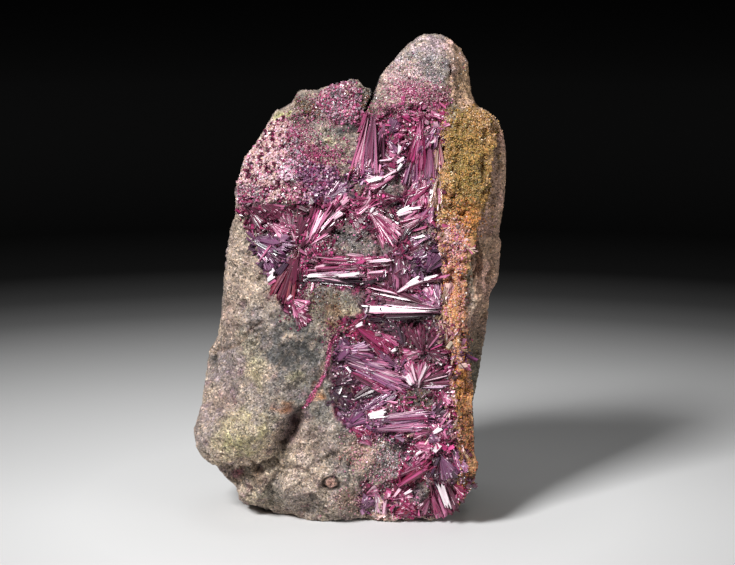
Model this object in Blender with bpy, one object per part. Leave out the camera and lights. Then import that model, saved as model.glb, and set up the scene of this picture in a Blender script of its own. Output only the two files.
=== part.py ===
"""Erythrite specimen: sprays of flat purple crystals on a block of host rock.

The block stands on its broken foot. X runs to the right of the crystal face, Y runs from
the crystal face to the back, Z is up, and the origin is under the middle of the block.
Shapes are worked out in millimetres and brought to metres at the end.
"""
import math
import random

import bmesh
import bpy
from mathutils import Matrix, Vector, noise
from mathutils.bvhtree import BVHTree

MM = 0.001

# Clearances between pieces that touch: straight, and along the skin of a bumpy piece
GAP = 0.3
GAP_ALONG_NORMAL = 0.42

# Fineness of the rock before and after its facets are reduced
ROCK_VOXEL = 0.9
ROCK_TRIANGLES = 2800
LOFT_SIDES = 48
CURVE_TENSION = 0.35

# Share of the triangles that the smaller pieces keep
SPRAY_KEEP = 0.6
CRUST_KEEP = 0.7

# Least skin of a spray's second body, in square millimetres, and the ends of such names
LEAST_SPRAY_AREA = 12.0
WHOLE_ONLY = math.inf
PIECE_SUFFIXES = ("", "_b", "_c", "_d")

# Where cutters and the lines that look for the face start and end along Y
AHEAD_OF_FACE = -60.0
CUTTER_FRONT = -40.0
STUD_CUTTER_RANGE = (-41.0, 10.0)

# The block: height, then six corners of the level outline in plan, as x and y pairs.
# The corners run left side, front left, front right, right side, back right, back left.
BLOCK_LEVELS = [
    (-2.0, (-17.0, 2), (-12.5, -8.0), (14.5, -12.5), (17.0, -1), (16.0, 12.5), (-13.0, 12.5)),
    (2.0, (-20.0, 2), (-15.5, -10.0), (17.4, -15.2), (19.0, 0), (18.0, 14.5), (-15.5, 14.5)),
    (6.0, (-21.8, 1), (-17.0, -11.5), (19.6, -17.0), (20.2, 0), (19.2, 15.5), (-17.5, 15.5)),
    (9.5, (-25.8, 0), (-19.0, -13.0), (20.2, -17.5), (20.6, 1), (19.6, 16.0), (-20.0, 16.0)),
    (13.0, (-30.2, 0), (-22.0, -14.0), (20.3, -17.5), (20.7, 1), (19.8, 16.5), (-22.5, 16.0)),
    (17.0, (-30.6, 0), (-22.5, -14.3), (20.2, -17.3), (20.9, 2), (20.2, 16.8), (-23.0, 16.0)),
    (22.0, (-28.4, 0), (-20.5, -13.6), (20.0, -17.2), (21.0, 3), (21.0, 16.8), (-22.0, 15.5)),
    (28.0, (-26.6, 0), (-19.0, -12.2), (20.0, -17.0), (22.2, 4), (21.5, 16.5), (-21.0, 15.0)),
    (32.0, (-24.4, 0), (-18.0, -11.2), (20.0, -16.8), (23.2, 4), (22.2, 16.0), (-20.0, 14.5)),
    (38.0, (-22.8, 0), (-17.0, -10.0), (20.1, -16.4), (24.8, 5), (23.0, 15.5), (-18.5, 14.0)),
    (45.0, (-22.2, 0), (-16.4, -9.0), (20.4, -15.8), (26.2, 5), (23.6, 15.0), (-17.5, 13.5)),
    (52.0, (-21.2, 1), (-15.4, -8.2), (21.4, -15.0), (27.0, 5), (24.0, 14.0), (-16.5, 13.0)),
    (59.0, (-20.4, 1), (-14.4, -7.4), (22.8, -14.0), (27.9, 5), (24.2, 13.0), (-15.0, 12.0)),
    (64.0, (-18.6, 1), (-12.8, -6.8), (23.8, -13.2), (27.8, 5), (23.8, 12.0), (-13.0, 11.0)),
    (68.5, (-16.2, 1), (-11.0, -6.2), (24.0, -12.4), (26.8, 5), (22.5, 11.0), (-11.0, 10.0)),
    (73.0, (-12.8, 1), (-9.5, -5.4), (21.5, -11.5), (23.9, 4), (19.5, 9.5), (-9.0, 9.0)),
    (78.0, (-10.5, 1), (-8.5, -4.4), (19.0, -10.5), (20.5, 3), (17.0, 8.0), (-7.5, 8.0)),
]

# The rounded tongue that stands up at the right of the top
TONGUE_LEVELS = [
    (60.0, (4.0, 0), (5.0, -10.0), (19.0, -12.0), (21.5, -2), (19.0, 7.0), (6.0, 7.0)),
    (68.0, (3.2, 0), (4.5, -10.5), (18.5, -12.3), (21.6, -2), (18.5, 6.5), (5.5, 6.5)),
    (75.0, (3.4, 0), (5.0, -10.5), (18.0, -12.3), (21.4, -2), (18.5, 6.0), (5.5, 6.0)),
    (78.6, (5.2, 0), (7.0, -9.4), (17.4, -11.2), (20.9, -2), (18.0, 5.0), (7.5, 5.0)),
    (82.0, (7.8, -1), (9.5, -7.8), (16.6, -9.6), (20.2, -2), (17.0, 4.0), (9.5, 4.0)),
    (84.6, (10.4, -1), (11.5, -6.0), (15.8, -7.4), (18.4, -2), (16.0, 2.6), (11.5, 2.6)),
    (86.4, (12.6, -1), (13.2, -3.8), (14.8, -4.4), (16.4, -2), (15.2, 0.8), (13.4, 0.8)),
]

# Flat breaks that trim the block: a point on the break and the direction it faces
BREAKS = [
    ("top_of_left_block", (-3, -6, 76.9), (-0.10, 0.16, 1.0)),
    ("left_shoulder", (-12.5, -2, 72.0), (-0.80, -0.16, 0.58)),
    ("left_crown", (-9.6, -3, 75.2), (-0.48, -0.05, 0.87)),
    ("right_shoulder", (23.6, -8, 71.6), (0.56, 0.05, 0.83)),
    ("back_slope", (4, 12.5, 60), (0.05, 0.93, 0.36)),
    ("back_left_corner", (-17.5, 11.5, 40), (-0.72, 0.68, 0.12)),
    ("back_right_corner", (22.0, 12.0, 30), (0.66, 0.74, -0.10)),
    ("back_foot", (2, 14.0, 6), (0.02, 0.86, -0.50)),
    ("left_flank", (-25.5, 4, 24), (-0.93, 0.30, 0.20)),
]

# Swells and hollows of the crystal face: x, z, half width, half height, tilt, rise
FACE_RELIEF = [
    ("lower_left_swell", -17.5, 20, 9.0, 13.0, 0, 1.5),
    ("lower_left_foot", -13.0, 5.0, 8.0, 5.0, 0, 0.9),
    ("foot_swell", -2.5, 6.0, 8.0, 6.0, 0, 1.4),
    ("step_above_foot", -15.0, 9.2, 7.0, 1.6, 8, -1.1),
    ("groove", -9.4, 17.4, 2.2, 5.6, -24, -1.9),
    ("vein_hollow", -4.0, 27.0, 1.6, 6.0, -24, -1.0),
    ("lower_crystal_hollow", 9.0, 24.0, 11.0, 9.5, 0, -1.7),
    ("deep_lower_pocket", 0.5, 22.8, 2.8, 4.0, 0, -1.4),
    ("star_pocket", 13.0, 29.5, 4.0, 4.0, 0, -1.2),
    ("cream_pocket", 8.6, 14.2, 3.4, 2.4, 0, -1.5),
    ("island_low", 12.2, 21.8, 3.4, 2.6, 0, 1.3),
    ("band_hollow", 3.5, 42.0, 9.0, 2.2, 0, -1.6),
    ("ledge_under_band", -1.0, 38.0, 6.5, 3.4, 0, 1.3),
    ("island_centre", 0.8, 49.6, 4.4, 3.6, -14, 1.6),
    ("island_right", 5.6, 47.6, 5.2, 1.8, 0, 1.1),
    ("left_spray_hollow", -10.5, 44.0, 4.5, 5.5, 0, -1.3),
    ("upper_crystal_hollow", 9.5, 62.0, 6.5, 9.0, 0, -1.7),
    ("slit", 9.5, 59.6, 0.9, 2.2, 0, -1.6),
    ("shoulder_swell", -14.0, 64.0, 5.5, 6.5, 0, 1.2),
    ("left_block_swell", -5.5, 72.5, 5.0, 4.2, 0, 1.0),
    ("smooth_patch", -0.3, 69.8, 3.2, 2.2, 0, -0.7),
    ("shoulder_vug", -14.1, 67.0, 1.5, 1.3, 0, -1.2),
]

# Natural unevenness: wavelength and height of each grade of roughness, how sharp its
# crests are, and what keeps its average near zero
ROUGHNESS = [(17.0, 1.10), (7.0, 0.60), (3.4, 0.42)]
CREST_SHARPNESS = 3.2
CREST_LEVEL = 0.45
ROCK_SEED = 11

# Shell-shaped chips of the broken rock, hollow inside and sharp where two meet
CHIP_SIZE = 10.0
CHIP_DEPTH = 1.6
CHIP_MEETING = 0.55

# The crevice between the left block and the tongue, a wedge open at the top
CREVICE_FOOT = (2.5, 72.8)
CREVICE_TOP = (4.5, 79.5)
CREVICE_WIDTHS = (0.5, 1.5)
CREVICE_DEPTH_RANGE = (-20.0, -1.5)

# A small rimmed inclusion low on the face, an oval stud in an oval moat
INCLUSION_PLACE = (-3.4, 6.8)
INCLUSION_RADII = (1.6, 1.25)
INCLUSION_STUD_SCALE = 0.62
INCLUSION_DEPTH = 0.7
INCLUSION_SIDES = 10

# Iron-stained crust on the right shoulder and down the front right edge, in x and z
OCHRE_OUTLINE = [
    (17.8, 71.0), (19.4, 73.6), (21.6, 74.4), (23.8, 72.0), (24.8, 67.0), (24.2, 60.0),
    (22.6, 54.0), (20.9, 48.0), (20.2, 40.0), (20.4, 26.0), (20.8, 10.0), (20.6, 3.4),
    (18.8, 3.2), (18.6, 12.0), (18.0, 22.0), (17.2, 30.0), (17.0, 37.0), (15.6, 44.0),
    (14.6, 50.0), (15.2, 57.0), (15.6, 63.0), (16.6, 68.0),
]
OCHRE_THICKNESS = 1.5
CRUST_BACK_LIMIT = -1.0
OCHRE_LUMPS = [
    ("shoulder_lump", 21.0, 67.5, 4.6, 5.5, 0, 0.9),
    ("middle_lump", 17.2, 58.5, 2.4, 4.0, 0, 0.7),
    ("hollow", 19.9, 56.6, 1.9, 2.6, 0, -1.0),
    ("lower_lump", 17.4, 51.0, 2.2, 3.4, 0, 0.4),
    ("seam_bead", 20.2, 33.0, 1.6, 3.0, 0, 0.3),
]

# Crust of small crystals on the upper left, and a smaller one by the crevice, in x and z
SHOULDER_CRUST_OUTLINE = [
    (-19.6, 61.5), (-18.2, 66.5), (-15.0, 70.8), (-11.6, 71.6), (-9.0, 69.0), (-8.6, 65.2),
    (-4.0, 64.0), (-2.4, 60.4), (-5.0, 56.6), (-9.4, 56.2), (-12.2, 57.8), (-16.0, 57.0),
    (-19.0, 57.6),
]
CREVICE_CRUST_OUTLINE = [
    (-5.0, 76.6), (-1.6, 77.6), (1.2, 76.4), (1.0, 72.2), (-1.2, 70.9), (-4.0, 71.6),
]
CRUST_THICKNESS = 0.75
CRUST_POINT_SPACING = 2.3
CRUST_POINT_HEIGHT = (0.2, 0.8)
CRUST_POINT_WIDTH = (1.4, 2.4)
CRUST_POINT_SUNK = 0.8
CRUST_POINT_JITTER = 0.5
CRUST_POINT_LEAN = 0.5

# Sprays of flat crystals. Each spray is one or more fans grown together, and each fan is:
# apex x, apex z, middle direction in degrees from +X, spread in degrees, number of blades,
# blade length, rise of the tips above the face in degrees.
SPRAYS = {
    "spray_top_upright": [(5.8, 70.4, 262, 32, 4, 8.6, 5), (3.6, 69.8, 258, 14, 3, 9.4, 9)],
    "spray_top_small": [(8.2, 69.9, 294, 56, 4, 3.4, 12)],
    "spray_top_blades": [(13.5, 71.0, 262, 26, 3, 6.8, 9), (14.6, 66.8, 232, 20, 2, 4.6, 14)],
    "spray_flakes": [(4.4, 59.8, 12, 50, 4, 5.2, 8)],
    "spray_rose": [(13.2, 61.4, 226, 70, 4, 4.4, 8)],
    "spray_white_flag": [
        (14.8, 55.4, 184, 44, 4, 7.6, 10),
        (15.0, 50.8, 170, 34, 3, 5.4, 8),
        (4.8, 55.2, 318, 66, 5, 7.2, 10),
    ],
    "spray_y_flake": [(-0.2, 52.8, 40, 60, 4, 4.2, 8)],
    "spray_diagonal": [
        (-8.8, 48.2, 50, 24, 4, 8.6, 9),
        (-6.2, 48.4, 42, 18, 2, 6.0, 12),
        (-2.8, 53.6, 70, 60, 3, 3.4, 8),
    ],
    "spray_shoulder_dark": [(-18.2, 55.6, 312, 30, 4, 7.6, 6)],
    "spray_left_maroon": [
        (-15.0, 48.8, 318, 66, 4, 6.0, 8),
        (-9.0, 47.8, 252, 46, 5, 11.4, 8),
    ],
    "spray_left_tip": [(-10.4, 35.0, 290, 80, 4, 3.6, 10)],
    "spray_band_upper": [(7.4, 46.2, 181, 12, 3, 13.4, 5), (-6.0, 45.4, 3, 14, 2, 6.8, 8)],
    "spray_band_white": [(-6.9, 43.0, 357, 8, 3, 11.2, 6), (6.4, 42.2, 176, 18, 3, 5.6, 9)],
    "spray_arc": [
        (9.0, 47.4, 280, 44, 5, 7.0, 6),
        (7.8, 40.9, 18, 36, 4, 7.4, 9),
        (3.2, 40.6, 350, 16, 2, 6.0, 7),
        (15.2, 38.9, 126, 58, 4, 5.0, 9),
    ],
    "spray_long_white": [(15.6, 36.8, 179, 8, 3, 12.8, 6)],
    "spray_ridged": [
        (-1.6, 34.4, 4, 56, 3, 4.6, 9),
        (-2.0, 30.8, 348, 52, 5, 10.0, 7),
        (0.2, 34.2, 322, 22, 3, 10.0, 9),
        (-1.0, 28.4, 346, 22, 5, 10.6, 8),
        (-0.4, 25.2, 350, 24, 3, 8.6, 6),
        (-2.4, 20.2, 26, 28, 4, 9.4, 7),
    ],
    "spray_maroon_fan": [(13.2, 30.8, 120, 64, 5, 4.8, 9)],
    "spray_right_star": [(14.4, 31.0, 44, 60, 4, 4.2, 8)],
    "spray_star": [
        (12.4, 24.4, 76, 86, 6, 5.2, 12),
        (12.6, 24.2, 352, 34, 3, 5.8, 8),
        (16.2, 22.6, 282, 26, 2, 4.6, 10),
    ],
    "spray_lower_block": [
        (-0.8, 15.2, 46, 56, 4, 4.6, 8),
        (2.8, 18.2, 352, 20, 4, 10.4, 8),
        (9.2, 15.6, 352, 110, 4, 2.4, 12),
    ],
    "spray_red_blades": [(1.4, 13.4, 4, 44, 3, 4.2, 10)],
    "spray_purple_fan": [
        (16.2, 11.2, 178, 50, 5, 6.0, 8),
        (13.8, 8.0, 148, 28, 3, 7.2, 7),
        (16.4, 16.4, 262, 44, 3, 2.8, 12),
    ],
    "spray_foot_white": [(15.0, 7.0, 288, 40, 4, 6.6, 8)],
    "spray_foot_left": [(1.8, 2.8, 56, 76, 4, 3.6, 10)],
    "spray_foot_red": [(7.4, 3.4, 34, 70, 4, 4.4, 8)],
}
BLADE_DEEP = 3.2
BLADE_KEEL_WIDTH = 0.8
BLADE_BASE_WIDTH = 0.45
BLADE_TIP_WIDTH = 0.35
BLADE_OVERLAP = 1.25
BLADE_WIDEST_AT = 0.72
BLADE_LEAST_ROLL = 6.0
BLADE_ROLL = 24.0
BLADE_LENGTH_JITTER = 0.22
BLADE_CLEAR_OF_FACE = 0.55
BLADE_CLEAR_JITTER = 0.35
BLADE_ANGLE_JITTER = 3.0
LEAST_BLADE_WIDTH = 1.0
FACE_SAMPLE_STEP = 2.0
CRYSTAL_SEED = 5

MATERIALS = {
    "matrix_stone": ((0.300, 0.270, 0.245), 0.85),
    "ochre_limonite": ((0.430, 0.270, 0.110), 0.90),
    "erythrite_druse": ((0.560, 0.250, 0.330), 0.55),
    "erythrite_crystal": ((0.420, 0.045, 0.160), 0.28),
}


def clear_scene():
    for item in list(bpy.data.objects):
        bpy.data.objects.remove(item, do_unlink=True)


def make_material(name):
    colour, roughness = MATERIALS[name]
    material = bpy.data.materials.new(name)
    material.use_nodes = True
    shader = material.node_tree.nodes["Principled BSDF"]
    shader.inputs["Base Color"].default_value = (*colour, 1.0)
    shader.inputs["Roughness"].default_value = roughness
    shader.inputs["Metallic"].default_value = 0.0
    return material


def assign(item, material):
    """Give an object one material, over all of its faces."""
    item.data.materials.clear()
    item.data.materials.append(material)
    for polygon in item.data.polygons:
        polygon.material_index = 0


def link_object(name, mesh):
    item = bpy.data.objects.new(name, mesh)
    bpy.context.scene.collection.objects.link(item)
    return item


def mesh_from(bm, name):
    bmesh.ops.recalc_face_normals(bm, faces=bm.faces)
    mesh = bpy.data.meshes.new(name)
    bm.to_mesh(mesh)
    bm.free()
    return mesh


def applied(item):
    """Replace an object's mesh by what its modifiers make of it."""
    graph = bpy.context.evaluated_depsgraph_get()
    graph.update()
    mesh = bpy.data.meshes.new_from_object(item.evaluated_get(graph), depsgraph=graph)
    item.modifiers.clear()
    item.data = mesh
    return item


def boolean(item, other, operation, solver="EXACT"):
    """Join, cut or intersect with another object, then drop the other one."""
    cutter = item.modifiers.new("shape", "BOOLEAN")
    cutter.operation = operation
    cutter.solver = solver
    cutter.object = other
    applied(item)
    bpy.data.objects.remove(other, do_unlink=True)
    return item


def smooth_loop(corners, sides):
    """A closed level outline through its corners, with evenly numbered points between them."""
    count = len(corners)
    each = sides // count
    points = []
    for index in range(count):
        before = Vector(corners[index - 1])
        start = Vector(corners[index])
        end = Vector(corners[(index + 1) % count])
        after = Vector(corners[(index + 2) % count])
        leave = (end - before) * CURVE_TENSION
        arrive = (after - start) * CURVE_TENSION
        for step in range(each):
            t = step / each
            points.append(
                start * (2 * t ** 3 - 3 * t ** 2 + 1)
                + leave * (t ** 3 - 2 * t ** 2 + t)
                + end * (3 * t ** 2 - 2 * t ** 3)
                + arrive * (t ** 3 - t ** 2)
            )
    return points


def loft(name, levels):
    """A closed solid through level outlines, each with the same number of corners."""
    bm = bmesh.new()
    rings = []
    for height, *corners in levels:
        ring = []
        for point in smooth_loop(corners, LOFT_SIDES):
            ring.append(bm.verts.new((point.x, point.y, height)))
        rings.append(ring)
    for lower, upper in zip(rings, rings[1:]):
        for index in range(len(lower)):
            after = (index + 1) % len(lower)
            bm.faces.new((lower[index], lower[after], upper[after], upper[index]))
    bm.faces.new(list(reversed(rings[0])))
    bm.faces.new(rings[-1])
    return link_object(name, mesh_from(bm, name))


def break_off(item, point, direction):
    """Trim an object by a flat break and close the cut."""
    bm = bmesh.new()
    bm.from_mesh(item.data)
    cut = bmesh.ops.bisect_plane(
        bm,
        geom=bm.verts[:] + bm.edges[:] + bm.faces[:],
        plane_co=Vector(point),
        plane_no=Vector(direction).normalized(),
        clear_outer=True,
    )
    rim = [part for part in cut["geom_cut"] if isinstance(part, bmesh.types.BMEdge)]
    bmesh.ops.holes_fill(bm, edges=rim)
    bm.to_mesh(item.data)
    bm.free()
    item.data.update()


def relief_at(x, z, features):
    """The rise of the named swells and hollows at one place, in millimetres."""
    rise = 0.0
    for _, centre_x, centre_z, half_width, half_height, tilt, height in features:
        turn = math.radians(tilt)
        across = (x - centre_x) * math.cos(turn) + (z - centre_z) * math.sin(turn)
        along = (z - centre_z) * math.cos(turn) - (x - centre_x) * math.sin(turn)
        reach = (across / half_width) ** 2 + (along / half_height) ** 2
        rise += height * math.exp(-reach)
    return rise


def uneven_at(point, seed):
    """Natural unevenness at one place: waves of falling size with sharp crests, and chips."""
    rise = 0.0
    shift = Vector((seed, seed * 2.0, -seed))
    for wavelength, height in ROUGHNESS:
        here = point / wavelength + shift
        rise += height * (CREST_LEVEL - abs(noise.noise(here)) * CREST_SHARPNESS)
    near, second = noise.voronoi(point / CHIP_SIZE + shift)[0][:2]
    rise -= CHIP_DEPTH * (min(second - near, CHIP_MEETING) - CHIP_MEETING / 2)
    return rise


def roughen_rock(item):
    """Move the rock's skin in and out: named relief on the face, unevenness all over."""
    mesh = item.data
    moved = []
    for vertex in mesh.vertices:
        place = vertex.co
        outward = vertex.normal
        facing = max(0.0, -outward.y)
        named = relief_at(place.x, place.z, FACE_RELIEF) * facing
        rise = named + uneven_at(place, ROCK_SEED)
        moved.append(place + outward * rise)
    for vertex, place in zip(mesh.vertices, moved):
        vertex.co = place
    mesh.update()


def remesh(item, voxel):
    skin = item.modifiers.new("skin", "REMESH")
    skin.mode = "VOXEL"
    skin.voxel_size = voxel
    applied(item)


def triangles_of(item):
    return sum(len(polygon.vertices) - 2 for polygon in item.data.polygons)


def reduce_facets(item, share):
    """Keep only a share of an object's triangles, where they matter most to its shape."""
    fewer = item.modifiers.new("facets", "DECIMATE")
    fewer.ratio = share
    applied(item)


def build_rock():
    rock = loft("matrix_rock", BLOCK_LEVELS)
    for _, point, direction in BREAKS:
        break_off(rock, point, direction)
    boolean(rock, loft("tongue", TONGUE_LEVELS), "UNION")
    remesh(rock, ROCK_VOXEL)
    roughen_rock(rock)
    remesh(rock, ROCK_VOXEL)
    reduce_facets(rock, ROCK_TRIANGLES / triangles_of(rock))
    break_off(rock, (0, 0, 0), (0, 0, -1))
    return rock


def prism(name, outline, near, far):
    """A closed prism along Y over an outline in x and z."""
    bm = bmesh.new()
    front = [bm.verts.new((x, near, z)) for x, z in outline]
    back = [bm.verts.new((x, far, z)) for x, z in outline]
    count = len(outline)
    for index in range(count):
        after = (index + 1) % count
        bm.faces.new((front[index], front[after], back[after], back[index]))
    bm.faces.new(list(reversed(front)))
    bm.faces.new(back)
    return link_object(name, mesh_from(bm, name))


def cut_crevice(rock):
    foot_x, foot_z = CREVICE_FOOT
    top_x, top_z = CREVICE_TOP
    foot_width, top_width = CREVICE_WIDTHS
    outline = [
        (foot_x - foot_width / 2, foot_z),
        (foot_x + foot_width / 2, foot_z),
        (top_x + top_width / 2, top_z),
        (top_x - top_width / 2, top_z),
    ]
    boolean(rock, prism("crevice", outline, *CREVICE_DEPTH_RANGE), "DIFFERENCE")


def oval(centre, radii, scale):
    points = []
    for index in range(INCLUSION_SIDES):
        angle = 2 * math.pi * index / INCLUSION_SIDES
        points.append((
            centre[0] + radii[0] * scale * math.cos(angle),
            centre[1] + radii[1] * scale * math.sin(angle),
        ))
    return points


def cut_inclusion(rock, skin):
    """Sink an oval moat around a stud of the rock's own surface."""
    x, z = INCLUSION_PLACE
    face_y = skin.ray_cast(Vector((x, AHEAD_OF_FACE, z)), Vector((0, 1, 0)))[0].y
    moat_floor = face_y + INCLUSION_DEPTH
    moat = prism("moat", oval(INCLUSION_PLACE, INCLUSION_RADII, 1.0), CUTTER_FRONT, moat_floor)
    stud_outline = oval(INCLUSION_PLACE, INCLUSION_RADII, INCLUSION_STUD_SCALE)
    stud = prism("stud", stud_outline, *STUD_CUTTER_RANGE)
    boolean(moat, stud, "DIFFERENCE")
    boolean(rock, moat, "DIFFERENCE")


def inflated(mesh, name, amount, extra=None):
    """A copy of the rock's skin moved outward, by more where a relief function says so."""
    copy = mesh.copy()
    moved = []
    for vertex in copy.vertices:
        rise = amount
        if extra:
            rise += extra(vertex.co)
        moved.append(vertex.co + vertex.normal * rise)
    for vertex, place in zip(copy.vertices, moved):
        vertex.co = place
    copy.update()
    return link_object(name, copy)


def inflated_mesh(mesh):
    """The mesh that trims what touches a skin, larger than the skin by the clearance."""
    trimmer = inflated(mesh, "trimmer", GAP_ALONG_NORMAL)
    trim_mesh = trimmer.data.copy()
    bpy.data.objects.remove(trimmer, do_unlink=True)
    return trim_mesh


def islands_of(bm):
    """The separate closed skins in one mesh, as lists of face numbers, largest first."""
    islands = []
    seen = set()
    for first in bm.faces:
        if first.index in seen:
            continue
        seen.add(first.index)
        stack = [first]
        island = []
        while stack:
            face = stack.pop()
            island.append(face)
            for edge in face.edges:
                for near in edge.link_faces:
                    if near.index not in seen:
                        seen.add(near.index)
                        stack.append(near)
        area = sum(face.calc_area() for face in island)
        islands.append((area, [face.index for face in island]))
    islands.sort(key=lambda entry: -entry[0])
    return islands


def split_pieces(item, least_area):
    """Triangulate an object, give each separate body its own object, and drop splinters."""
    whole = bmesh.new()
    whole.from_mesh(item.data)
    bmesh.ops.triangulate(whole, faces=whole.faces)
    whole.faces.index_update()
    pieces = []
    for area, kept in islands_of(whole):
        if pieces and area < least_area:
            continue
        own = whole.copy()
        own.faces.ensure_lookup_table()
        wanted = set(kept)
        others = [face for face in own.faces if face.index not in wanted]
        bmesh.ops.delete(own, geom=others, context="FACES")
        if pieces:
            mesh = bpy.data.meshes.new(item.name)
            piece = link_object(item.name + PIECE_SUFFIXES[len(pieces)], mesh)
        else:
            piece = item
        own.to_mesh(piece.data)
        own.free()
        piece.data.update()
        pieces.append(piece)
    whole.free()
    return pieces


def surface_frame(skin, x, z):
    """The point of the face at x and z, its outward direction, and two directions along it."""
    hits = []
    step = FACE_SAMPLE_STEP
    for shift_x, shift_z in ((0, 0), (step, 0), (-step, 0), (0, step), (0, -step)):
        start = Vector((x + shift_x, AHEAD_OF_FACE, z + shift_z))
        hit = skin.ray_cast(start, Vector((0, 1, 0)))
        if hit[0] is not None:
            hits.append(hit)
    outward = sum((hit[1] for hit in hits), Vector())
    outward.normalize()
    across = Vector((0, 0, 1)).cross(outward)
    across = -across if across.x < 0 else across
    across.normalize()
    upward = across.cross(outward)
    upward = -upward if upward.z < 0 else upward
    return hits[0][0], outward, across, upward


def blade(bm, foot, along, outward, length, width, roll):
    """One flat crystal: a lath with a tilted flat top whose sides run down into the rock."""
    side = along.cross(outward).normalized()
    top = side.cross(along).normalized()
    stations = (
        (0.0, BLADE_BASE_WIDTH),
        (BLADE_WIDEST_AT, 1.0),
        (1.0, BLADE_TIP_WIDTH),
    )
    lean = math.tan(math.radians(roll))
    rings = []
    for share, breadth in stations:
        half = width * breadth / 2
        centre = foot + along * (length * share)
        ring = [
            centre - side * half - top * (half * lean),
            centre + side * half + top * (half * lean),
            centre + side * (half * BLADE_KEEL_WIDTH) - top * BLADE_DEEP,
            centre - side * (half * BLADE_KEEL_WIDTH) - top * BLADE_DEEP,
        ]
        rings.append([bm.verts.new(point) for point in ring])
    for lower, upper in zip(rings, rings[1:]):
        for index in range(4):
            after = (index + 1) % 4
            bm.faces.new((lower[index], lower[after], upper[after], upper[index]))
    bm.faces.new(list(reversed(rings[0])))
    bm.faces.new(rings[-1])


def build_spray(name, fans, skin, trim_meshes, rng):
    """Fans of blades, joined in one solid and trimmed to sit on the rock and by the crust.

    The exact solver loses some of these thin crossing blades, so they use the other one.
    """
    spray = None
    for apex_x, apex_z, direction, spread, count, length, rise in fans:
        foot, outward, across, upward = surface_frame(skin, apex_x, apex_z)
        step = spread / (count - 1)
        width = max(LEAST_BLADE_WIDTH, length * math.radians(step) * BLADE_OVERLAP)
        for index in range(count):
            jitter = rng.uniform(-BLADE_ANGLE_JITTER, BLADE_ANGLE_JITTER)
            angle = math.radians(direction - spread / 2 + step * index + jitter)
            tilt = math.radians(rise + rng.uniform(-BLADE_ANGLE_JITTER, BLADE_ANGLE_JITTER))
            flat = across * math.cos(angle) + upward * math.sin(angle)
            along = flat * math.cos(tilt) + outward * math.sin(tilt)
            own_length = length * (1 - rng.uniform(0, BLADE_LENGTH_JITTER))
            own_foot = foot + outward * (BLADE_CLEAR_OF_FACE + rng.uniform(0, BLADE_CLEAR_JITTER))
            roll = rng.choice((-1, 1)) * rng.uniform(BLADE_LEAST_ROLL, BLADE_ROLL)
            bm = bmesh.new()
            blade(bm, own_foot, along, outward, own_length, width, roll)
            piece = link_object(name, mesh_from(bm, name))
            if spray is None:
                spray = piece
            else:
                boolean(spray, piece, "UNION", "MANIFOLD")
    for trim_mesh in trim_meshes:
        boolean(spray, link_object("cutter", trim_mesh.copy()), "DIFFERENCE", "MANIFOLD")
    pieces = split_pieces(spray, LEAST_SPRAY_AREA)
    for piece in pieces:
        reduce_facets(piece, SPRAY_KEEP)
    return pieces


def build_crust(name, outline, rock_mesh, trim_mesh, thickness, lumps):
    """A crust that follows the rock inside an outline, with its own lumps."""
    extra = None
    if lumps:
        def extra(place):
            return relief_at(place.x, place.z, lumps)
    crust = inflated(rock_mesh, name, thickness + GAP, extra)
    boolean(crust, prism("limits", outline, CUTTER_FRONT, CRUST_BACK_LIMIT), "INTERSECT")
    boolean(crust, link_object("rock_cutter", trim_mesh.copy()), "DIFFERENCE")
    return crust


def crystal_point(bm, skin, x, z, height, width, rng):
    """A small leaning pyramid of three or four sides, sunk a little in its crust."""
    foot, outward, across, upward = surface_frame(skin, x, z)
    most = CRUST_POINT_LEAN
    lean = across * rng.uniform(-most, most) + upward * rng.uniform(-most, most)
    sides = rng.choice((3, 4))
    start = rng.uniform(0, math.pi)
    base = []
    for index in range(sides):
        angle = start + 2 * math.pi * index / sides
        arm = across * math.cos(angle) + upward * math.sin(angle)
        base.append(bm.verts.new(foot + arm * (width / 2) + outward * CRUST_POINT_SUNK))
    tip = bm.verts.new(foot + (outward + lean) * (GAP + CRUST_THICKNESS + height))
    for index in range(sides):
        bm.faces.new((base[index], base[(index + 1) % sides], tip))
    bm.faces.new(list(reversed(base)))


def inside(x, z, outline):
    """Whether a place lies inside an outline, by counting crossings."""
    crossings = False
    count = len(outline)
    for index in range(count):
        x1, z1 = outline[index]
        x2, z2 = outline[(index + 1) % count]
        if (z1 > z) != (z2 > z) and x < (x2 - x1) * (z - z1) / (z2 - z1) + x1:
            crossings = not crossings
    return crossings


def build_druse(name, outline, rock_mesh, skin, trim_mesh, rng):
    """A thin crust with small crystals standing on it, all grown together."""
    druse = build_crust(name, outline, rock_mesh, trim_mesh, CRUST_THICKNESS, None)
    low_x = min(x for x, _ in outline)
    high_x = max(x for x, _ in outline)
    low_z = min(z for _, z in outline)
    high_z = max(z for _, z in outline)
    bm = bmesh.new()
    z = low_z + CRUST_POINT_SPACING / 2
    while z < high_z:
        x = low_x + CRUST_POINT_SPACING / 2
        while x < high_x:
            own_x = x + rng.uniform(-CRUST_POINT_JITTER, CRUST_POINT_JITTER)
            own_z = z + rng.uniform(-CRUST_POINT_JITTER, CRUST_POINT_JITTER)
            height = rng.uniform(*CRUST_POINT_HEIGHT)
            width = rng.uniform(*CRUST_POINT_WIDTH)
            if inside(own_x, own_z, outline):
                crystal_point(bm, skin, own_x, own_z, height, width, rng)
            x += CRUST_POINT_SPACING
        z += CRUST_POINT_SPACING
    boolean(druse, link_object("points", mesh_from(bm, "points")), "UNION", "MANIFOLD")
    split_pieces(druse, WHOLE_ONLY)
    reduce_facets(druse, CRUST_KEEP)
    return druse


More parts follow.
